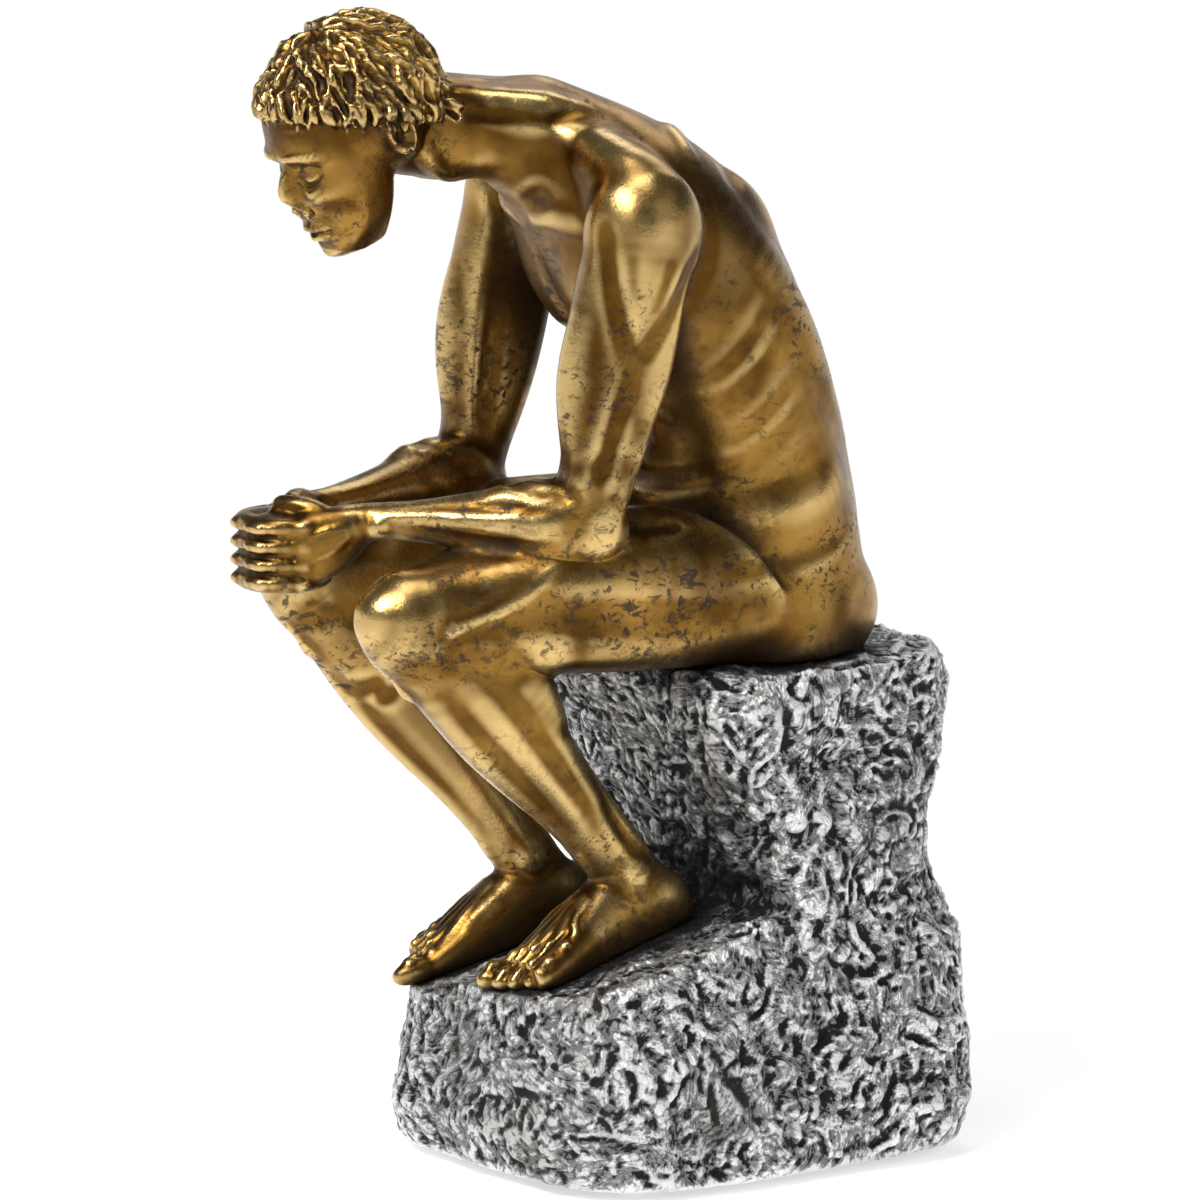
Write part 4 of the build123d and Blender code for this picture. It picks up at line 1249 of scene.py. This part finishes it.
class ORNAMENT_OT_figure(Operator):
    """Model the gold figure over its castings"""

    bl_idname = "ornament.figure"
    bl_label = "Gold Figure"

    def execute(self, context):
        settings = context.scene.ornament.figure
        obj = fused("figure_skin", CASTINGS, settings.voxel, list(self.fist()))
        finer(obj, HEAD, 27.0)
        finer(obj, FIST, 19.0)
        for side in (1, -1):
            finer(obj, Instep(None, side).toes(), 17.0)
        clay = Clay(obj)
        labels = seam_labels(clay)
        fine = self.fine_parts(clay)
        pairs = [("torso", name) for name in ("head", "left_arm", "right_arm", "left_leg", "right_leg")]
        pairs += [("hands", "left_arm"), ("hands", "right_arm")]
        band = seam_band(clay, labels, pairs, 10)
        clay.relax(4, 0.5)
        clay.relax(24, 0.6 * (1 - fine))
        clay.relax(36, 0.6 * band)
        clay.measure()
        clay.aim()
        depth = settings.depth
        clay.cut = settings.crease
        model_trunk(clay, depth)
        model_neck(clay, depth)
        for side in (1, -1):
            model_arm(clay, side, depth)
            model_leg(clay, side, depth)
        clay.relax(5, 0.5 * (1 - 0.7 * fine))
        clay.measure()
        clay.cut = 1.0
        model_hands(clay, depth)
        clay.relax(5, 0.5 * self.closeness(clay, FIST, 16, 6))
        clay.measure()
        model_face(clay, depth)
        clay.measure()
        clay.aim()
        model_hair(clay, settings.locks, depth)
        clay.relax(1, 0.3)
        clay.measure()
        put_attribute(obj.data, "recess", clay.recess())
        # Painted shade for the gold: darker where other castings and the rock hide the sky, and on downward
        # faces
        put_attribute(obj.data, "painted_shade", painted_shade(clay, 45.0))
        layer = obj.data.attributes.new("fused_normal", "FLOAT_VECTOR", "POINT")
        layer.data.foreach_set("vector", clay.normals.astype(np.float32).ravel())
        for name in CASTINGS:
            obj.data.materials.append(bpy.data.materials.new(name))
        obj.data.polygons.foreach_set("material_index", labels)
        gold = antique_gold(settings)
        for name, piece in parted(obj).items():
            piece.name = "gold_" + name
            piece.data.name = piece.name
            dress(piece, gold)
            finish_piece(piece, [name])
        for name in CASTINGS:
            bpy.data.materials.remove(bpy.data.materials[name])
        return {"FINISHED"}

    def fist(self):
        """Fillings that close the clasped fingers round the palm."""
        for k in range(4):
            for x in (-3.4, 3.4):
                height = KNUCKLE[2] + (1.5 - k) * FINGER_PITCH
                yield np.array([x, KNUCKLE[1] - 0.4, height]), (7.6, 10.4, 2.9)

    def fine_parts(self, clay):
        """Weight of the head, hands and feet, whose small forms are kept from smoothing."""
        fine = np.maximum(self.closeness(clay, HEAD, 26, 8), self.closeness(clay, FIST, 18, 8))
        return np.maximum(fine, (1 - (clay.at[:, 2] - 62) / 8).clip(0, 1))

    def closeness(self, clay, centre, radius, fade):
        """Weight that is 1 within a radius of a point and fades out beyond it."""
        return (1 - (np.linalg.norm(clay.at - centre, axis=1) - radius) / fade).clip(0, 1)


class ORNAMENT_OT_rock(Operator):
    """Hew the silver rock"""

    bl_idname = "ornament.rock"
    bl_label = "Silver Rock"

    def execute(self, context):
        settings = context.scene.ornament.rock
        obj = fused("silver_rock", ["rock_base", "base_board"], settings.voxel)
        self.board_recess(obj)
        clay = Clay(obj)
        clay.relax(8, 0.6)
        clay.measure()
        rng = np.random.default_rng(5)
        held = ((clay.at[:, 2] - clay.at[:, 2].min()) / 3).clip(0, 1) * (clay.normals[:, 2] > -0.9)
        for centre, inner, outer in self.rests():
            gap = np.linalg.norm((clay.at - centre) * np.array([1.0, 1.0, 1.6]), axis=1)
            held *= ((gap - inner) / (outer - inner)).clip(0.15, 1)
        lumps = self.waves(clay.at, rng, 26, 14.0, 26.0) * 0.5
        lumps += self.waves(clay.at, rng, 30, 5.0, 10.0) * 0.35
        start = clay.at.copy()
        clay.at += clay.normals * (lumps * settings.lump * 1000)[:, None]
        clay.measure()
        clay.aim()
        stream = np.stack([self.waves(clay.at, rng, 6, 45.0, 90.0) for _ in range(3)], 1)
        self.gouge(clay, rng, stream, settings.gouges)
        clay.measure()
        clay.at += clay.normals * self.marks(clay, rng, settings)[:, None]
        clay.measure()
        self.dashes(clay, rng, stream, settings.dashes)
        clay.at = start + (clay.at - start) * held[:, None]
        put_attribute(obj.data, "recess", clay.recess((0.5, 0.4, 0.3)))
        # Painted shade for the rock: darker where the figure and the rock hide the sky, and on downward
        # faces
        put_attribute(obj.data, "painted_shade", painted_shade(clay, 40.0))
        thinned(obj, settings.triangles)
        obj.data.shade_smooth()
        dress(obj, hewn_silver(settings))
        finish_piece(obj, ["rock_base"])
        return {"FINISHED"}

    def board_recess(self, obj):
        """Opens the rock's foot where the board lies and gives the opening walls and a roof."""
        tree, owner = casting_tree(["rock_base", "base_board"])
        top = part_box("base_board")[1][2]
        bm = bmesh.new()
        bm.from_mesh(obj.data)
        floor = []
        for face in bm.faces:
            if face.normal.z < -0.7:
                centre = (np.array(face.calc_center_median()) - BOLT_AXIS) * 1000
                if owner[tree.find_nearest(Vector(centre))[2]]:
                    floor.append(face)
        bmesh.ops.delete(bm, geom=floor, context="FACES")

        def raise_to_roof(v):
            v.co.z = top + BOARD_CLEARANCE

        close_rims(bm, raise_to_roof)
        bm.to_mesh(obj.data)
        bm.free()

    def rests(self):
        """Where the figure touches the rock: centre and the radii of the quieter patch."""
        yield np.array([0.0, 8.0, SEAT]), 24.0, 36.0
        for side in (1, -1):
            aim = heading(TOE_OUT * side, FOOT_PITCH)
            sole = ankle(side) - np.cross(aim, heading(TOE_OUT * side + 90, 0)) * ANKLE_RISE
            for reach in (-4.0, 10.0, 24.0):
                yield sole + aim * reach, 7.0, 14.0

    def waves(self, at, rng, count, shortest, longest):
        """Sum of smooth waves in many directions."""
        total = np.zeros(len(at))
        for _ in range(count):
            direction = unit(rng.normal(size=3)) * (2 * math.pi / rng.uniform(shortest, longest))
            total += np.sin(at @ direction + rng.uniform(0, 2 * math.pi))
        return total / math.sqrt(count / 2)

    def run(self, clay, rng, stream, index, stray):
        """Direction of a mark on the surface: with the stream, more or less."""
        return unit(np.cross(clay.normals[index], unit(stream[index]) + rng.normal(size=3) * stray))

    def gouge(self, clay, rng, stream, count):
        """Curved strokes of a broad tool, each a scoop with a raised rim."""
        for index in rng.choice(clay.count, count, replace=False):
            place, normal = clay.at[index], clay.normals[index]
            along = self.run(clay, rng, stream, index, 0.5)
            across = np.cross(normal, along)
            length, bend = rng.uniform(2.5, 8), rng.uniform(-0.1, 0.1)
            steps = np.linspace(-1, 1, 7)
            line = [place + along * (t * length) + across * (bend * (t * length) ** 2) for t in steps]
            width = rng.uniform(1.2, 2.4)
            clay.stroke(clay.snap(line), width, -rng.uniform(0.4, 0.95))
            rim = clay.snap([p + across * width for p in line])
            clay.stroke(rim, width * 0.7, rng.uniform(0.25, 0.55))

    def dashes(self, clay, rng, stream, count):
        """Short flicks of a narrow tool."""
        for index in rng.choice(clay.count, count, replace=False):
            place, normal = clay.at[index], clay.normals[index]
            along = self.run(clay, rng, stream, index, 0.4)
            across = np.cross(normal, along)
            length, bend = rng.uniform(0.8, 2.4), rng.uniform(-0.3, 0.3)
            steps = (-1, -0.4, 0.3, 1)
            line = [place + along * (t * length) + across * (bend * t * t * length) for t in steps]
            clay.stroke(clay.snap(line), rng.uniform(0.9, 1.4), rng.choice((-0.75, -0.55, 0.35, 0.45)))

    def marks(self, clay, rng, settings):
        """Small chips: each patch of the surface stands high or low and is cut in its own direction."""
        seeds = rng.choice(clay.count, settings.chips, replace=False)
        tree = KDTree(len(seeds))
        for k, index in enumerate(seeds):
            tree.insert(Vector(clay.at[index]), k)
        tree.balance()
        warped = clay.at + np.stack([self.waves(clay.at, rng, 8, 4.0, 10.0) for _ in range(3)], 1) * 0.9
        owner = np.empty(clay.count, dtype=int)
        edge = np.empty(clay.count)
        for k, point in enumerate(warped):
            near = tree.find_n(Vector(point), 2)
            owner[k] = near[0][1]
            edge[k] = near[1][2] - near[0][2]
        tilt = rng.normal(size=(len(seeds), 3)) * 0.3
        level = rng.choice([-1.4, -0.6, -0.1, 0.2, 0.4, 0.7], len(seeds))
        offset = ((warped - clay.at[seeds][owner]) * tilt[owner]).sum(1).clip(-1, 1)
        inside = (edge / 1.1).clip(0, 1)
        return settings.bite * 1000 * ((level[owner] + offset) * inside - 0.5 * (1 - inside))


class ORNAMENT_OT_underside(Operator):
    """Finish the board, its screws and the rubber feet under the rock"""

    bl_idname = "ornament.underside"
    bl_label = "Underside"

    def execute(self, context):
        dress(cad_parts["base_board"], grained_wood())
        dress(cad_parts["rubber_feet"], soft_rubber())
        steel = turned_metal("turned_steel", (0.42, 0.43, 0.45), (0.66, 0.67, 0.69))
        for name in STEEL_NODES:
            dress(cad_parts[name], steel)
        brass = turned_metal("turned_brass", (0.60, 0.44, 0.17), (0.86, 0.68, 0.32))
        dress(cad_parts["seat_insert"], brass)
        return {"FINISHED"}


class ORNAMENT_OT_stage(Operator):
    """Set the floor, the backdrop, the lights and the camera"""

    bl_idname = "ornament.stage"
    bl_label = "Stage"

    def execute(self, context):
        settings = context.scene.ornament.stage
        scene = context.scene
        scene.view_settings.view_transform = "Standard"
        self.cove(scene)
        self.daylight(scene)
        self.camera(scene, settings)
        self.lamp(scene, "key", -42, 48, 0.6, 0.5, 12.0)
        self.lamp(scene, "fill", 60, 25, 0.9, 0.9, 1.0)
        self.lamp(scene, "top", 5, 82, 0.7, 0.7, 5.0)
        self.lamp(scene, "rim", 165, 40, 0.8, 0.6, 2.5)
        return {"FINISHED"}

    def cove(self, scene):
        """Pale floor that brightens to the white of the walls away from the object."""
        bm = bmesh.new()
        bmesh.ops.create_circle(bm, cap_ends=True, radius=1.2, segments=96)
        mesh = bpy.data.meshes.new("floor")
        bm.to_mesh(mesh)
        bm.free()
        floor = bpy.data.objects.new("floor", mesh)
        scene.collection.objects.link(floor)
        material = bpy.data.materials.new("pale_floor")
        n = Nodes(material)
        away = n.add("ShaderNodeVectorMath", {0: object_space(n)}, operation="LENGTH").outputs["Value"]
        path = n.add("ShaderNodeLightPath")
        seen = n.math("MAXIMUM", path.outputs["Is Glossy Ray"], path.outputs["Is Transmission Ray"])
        seen = n.math("MAXIMUM", seen, path.outputs["Is Camera Ray"])
        paper = n.add("ShaderNodeBsdfDiffuse", {"Color": (0.82, 0.82, 0.82, 1)})
        glow = n.add("ShaderNodeEmission", {"Color": (1, 1, 1, 1), "Strength": 0.6})
        lit = n.add("ShaderNodeAddShader", {0: paper.outputs[0], 1: glow.outputs[0]})
        white = n.add("ShaderNodeEmission", {"Color": (1, 1, 1, 1), "Strength": 1.0})
        fade = n.span(away, 0.2, 0.6)
        far = n.add("ShaderNodeMixShader", {0: fade, 1: lit.outputs[0], 2: white.outputs[0]})
        pick = n.add("ShaderNodeMixShader", {0: seen, 1: paper.outputs[0], 2: far.outputs[0]})
        n.add("ShaderNodeOutputMaterial", {0: pick.outputs[0]})
        dress(floor, material)
        floor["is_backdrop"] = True

    def daylight(self, scene):
        """Room with white low walls round the floor and a dim upper part."""
        world = bpy.data.worlds.new("studio")
        scene.world = world
        n = Nodes(world)
        sky = n.add("ShaderNodeTexCoord").outputs["Generated"]
        rise = n.add("ShaderNodeSeparateXYZ", {0: sky}).outputs["Z"]
        strength = n.span(rise, 0.14, 0.24, 1.0, 0.09)
        back = n.add("ShaderNodeBackground", {"Color": (1, 1, 1, 1), "Strength": strength})
        out = n.add("ShaderNodeOutputWorld")
        n.tree.links.new(back.outputs[0], out.inputs[0])

    def lamp(self, scene, name, turn, rise, width, height, power):
        """Soft box at a turn from the camera's side and a rise over the table."""
        light = bpy.data.lights.new(name, "AREA")
        light.shape = "RECTANGLE"
        light.size, light.size_y = width, height
        light.energy = power
        obj = bpy.data.objects.new(name, light)
        scene.collection.objects.link(obj)
        target = Vector((0, 0, 0.13))
        side = scene.ornament.stage.azimuth + math.radians(turn)
        obj.location = target + toward(side, math.radians(rise)) * 1.3
        obj.rotation_euler = (target - obj.location).to_track_quat("-Z", "Y").to_euler()

    def camera(self, scene, settings):
        """Camera whose frame holds the object where the picture has it."""
        data = bpy.data.cameras.new("camera")
        data.sensor_fit = "HORIZONTAL"
        data.sensor_width = 36
        obj = bpy.data.objects.new("camera", data)
        scene.collection.objects.link(obj)
        scene.camera = obj
        back = toward(settings.azimuth, settings.elevation)
        low, high = (Vector(c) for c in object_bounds())
        target = (low + high) / 2
        obj.location = target + back * settings.distance
        turn = (-back).to_track_quat("-Z", "Y")
        obj.rotation_euler = turn.to_euler()
        spin = np.array(turn.to_matrix().transposed())
        spots = [read(piece.data.vertices, "co", 3, float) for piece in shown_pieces()]
        seen = (np.vstack(spots) - np.array(obj.location)) @ spin.T
        across, rise = -seen[:, 0] / seen[:, 2], -seen[:, 1] / seen[:, 2]
        wide = (across.max() - across.min()) / (settings.right - settings.left)
        tall = (rise.max() - rise.min()) / (settings.bottom - settings.top)
        view = max(wide, tall)
        data.lens = data.sensor_width / view
        middle_x = (across.max() + across.min()) / 2 / view
        middle_y = (rise.max() + rise.min()) / 2 / view
        data.shift_x = middle_x - ((settings.left + settings.right) / 2 - 0.5)
        data.shift_y = middle_y + ((settings.top + settings.bottom) / 2 - 0.5)


class ORNAMENT_PT_panel(Panel):
    bl_label = "Seated Figure Ornament"
    bl_idname = "ORNAMENT_PT_panel"
    bl_space_type = "VIEW_3D"
    bl_region_type = "UI"
    bl_category = "Ornament"

    def draw(self, context):
        settings = context.scene.ornament
        for title, group, operator in (
            ("Figure", settings.figure, "ornament.figure"),
            ("Rock", settings.rock, "ornament.rock"),
            ("Underside", None, "ornament.underside"),
            ("Stage", settings.stage, "ornament.stage"),
        ):
            box = self.layout.box()
            box.label(text=title)
            if group is not None:
                for key in group.__annotations__:
                    box.prop(group, key)
            box.operator(operator)


CLASSES = (
    FigureSettings,
    RockSettings,
    StageSettings,
    OrnamentSettings,
    ORNAMENT_OT_figure,
    ORNAMENT_OT_rock,
    ORNAMENT_OT_underside,
    ORNAMENT_OT_stage,
    ORNAMENT_PT_panel,
)


def register():
    for cls in CLASSES:
        bpy.utils.register_class(cls)
    bpy.types.Scene.ornament = PointerProperty(type=OrnamentSettings)


def unregister():
    del bpy.types.Scene.ornament
    for cls in reversed(CLASSES):
        bpy.utils.unregister_class(cls)


def main():
    register()
    bpy.ops.ornament.figure()
    bpy.ops.ornament.rock()
    bpy.ops.ornament.underside()
    bpy.ops.ornament.stage()


if __name__ == "__main__":
    main()
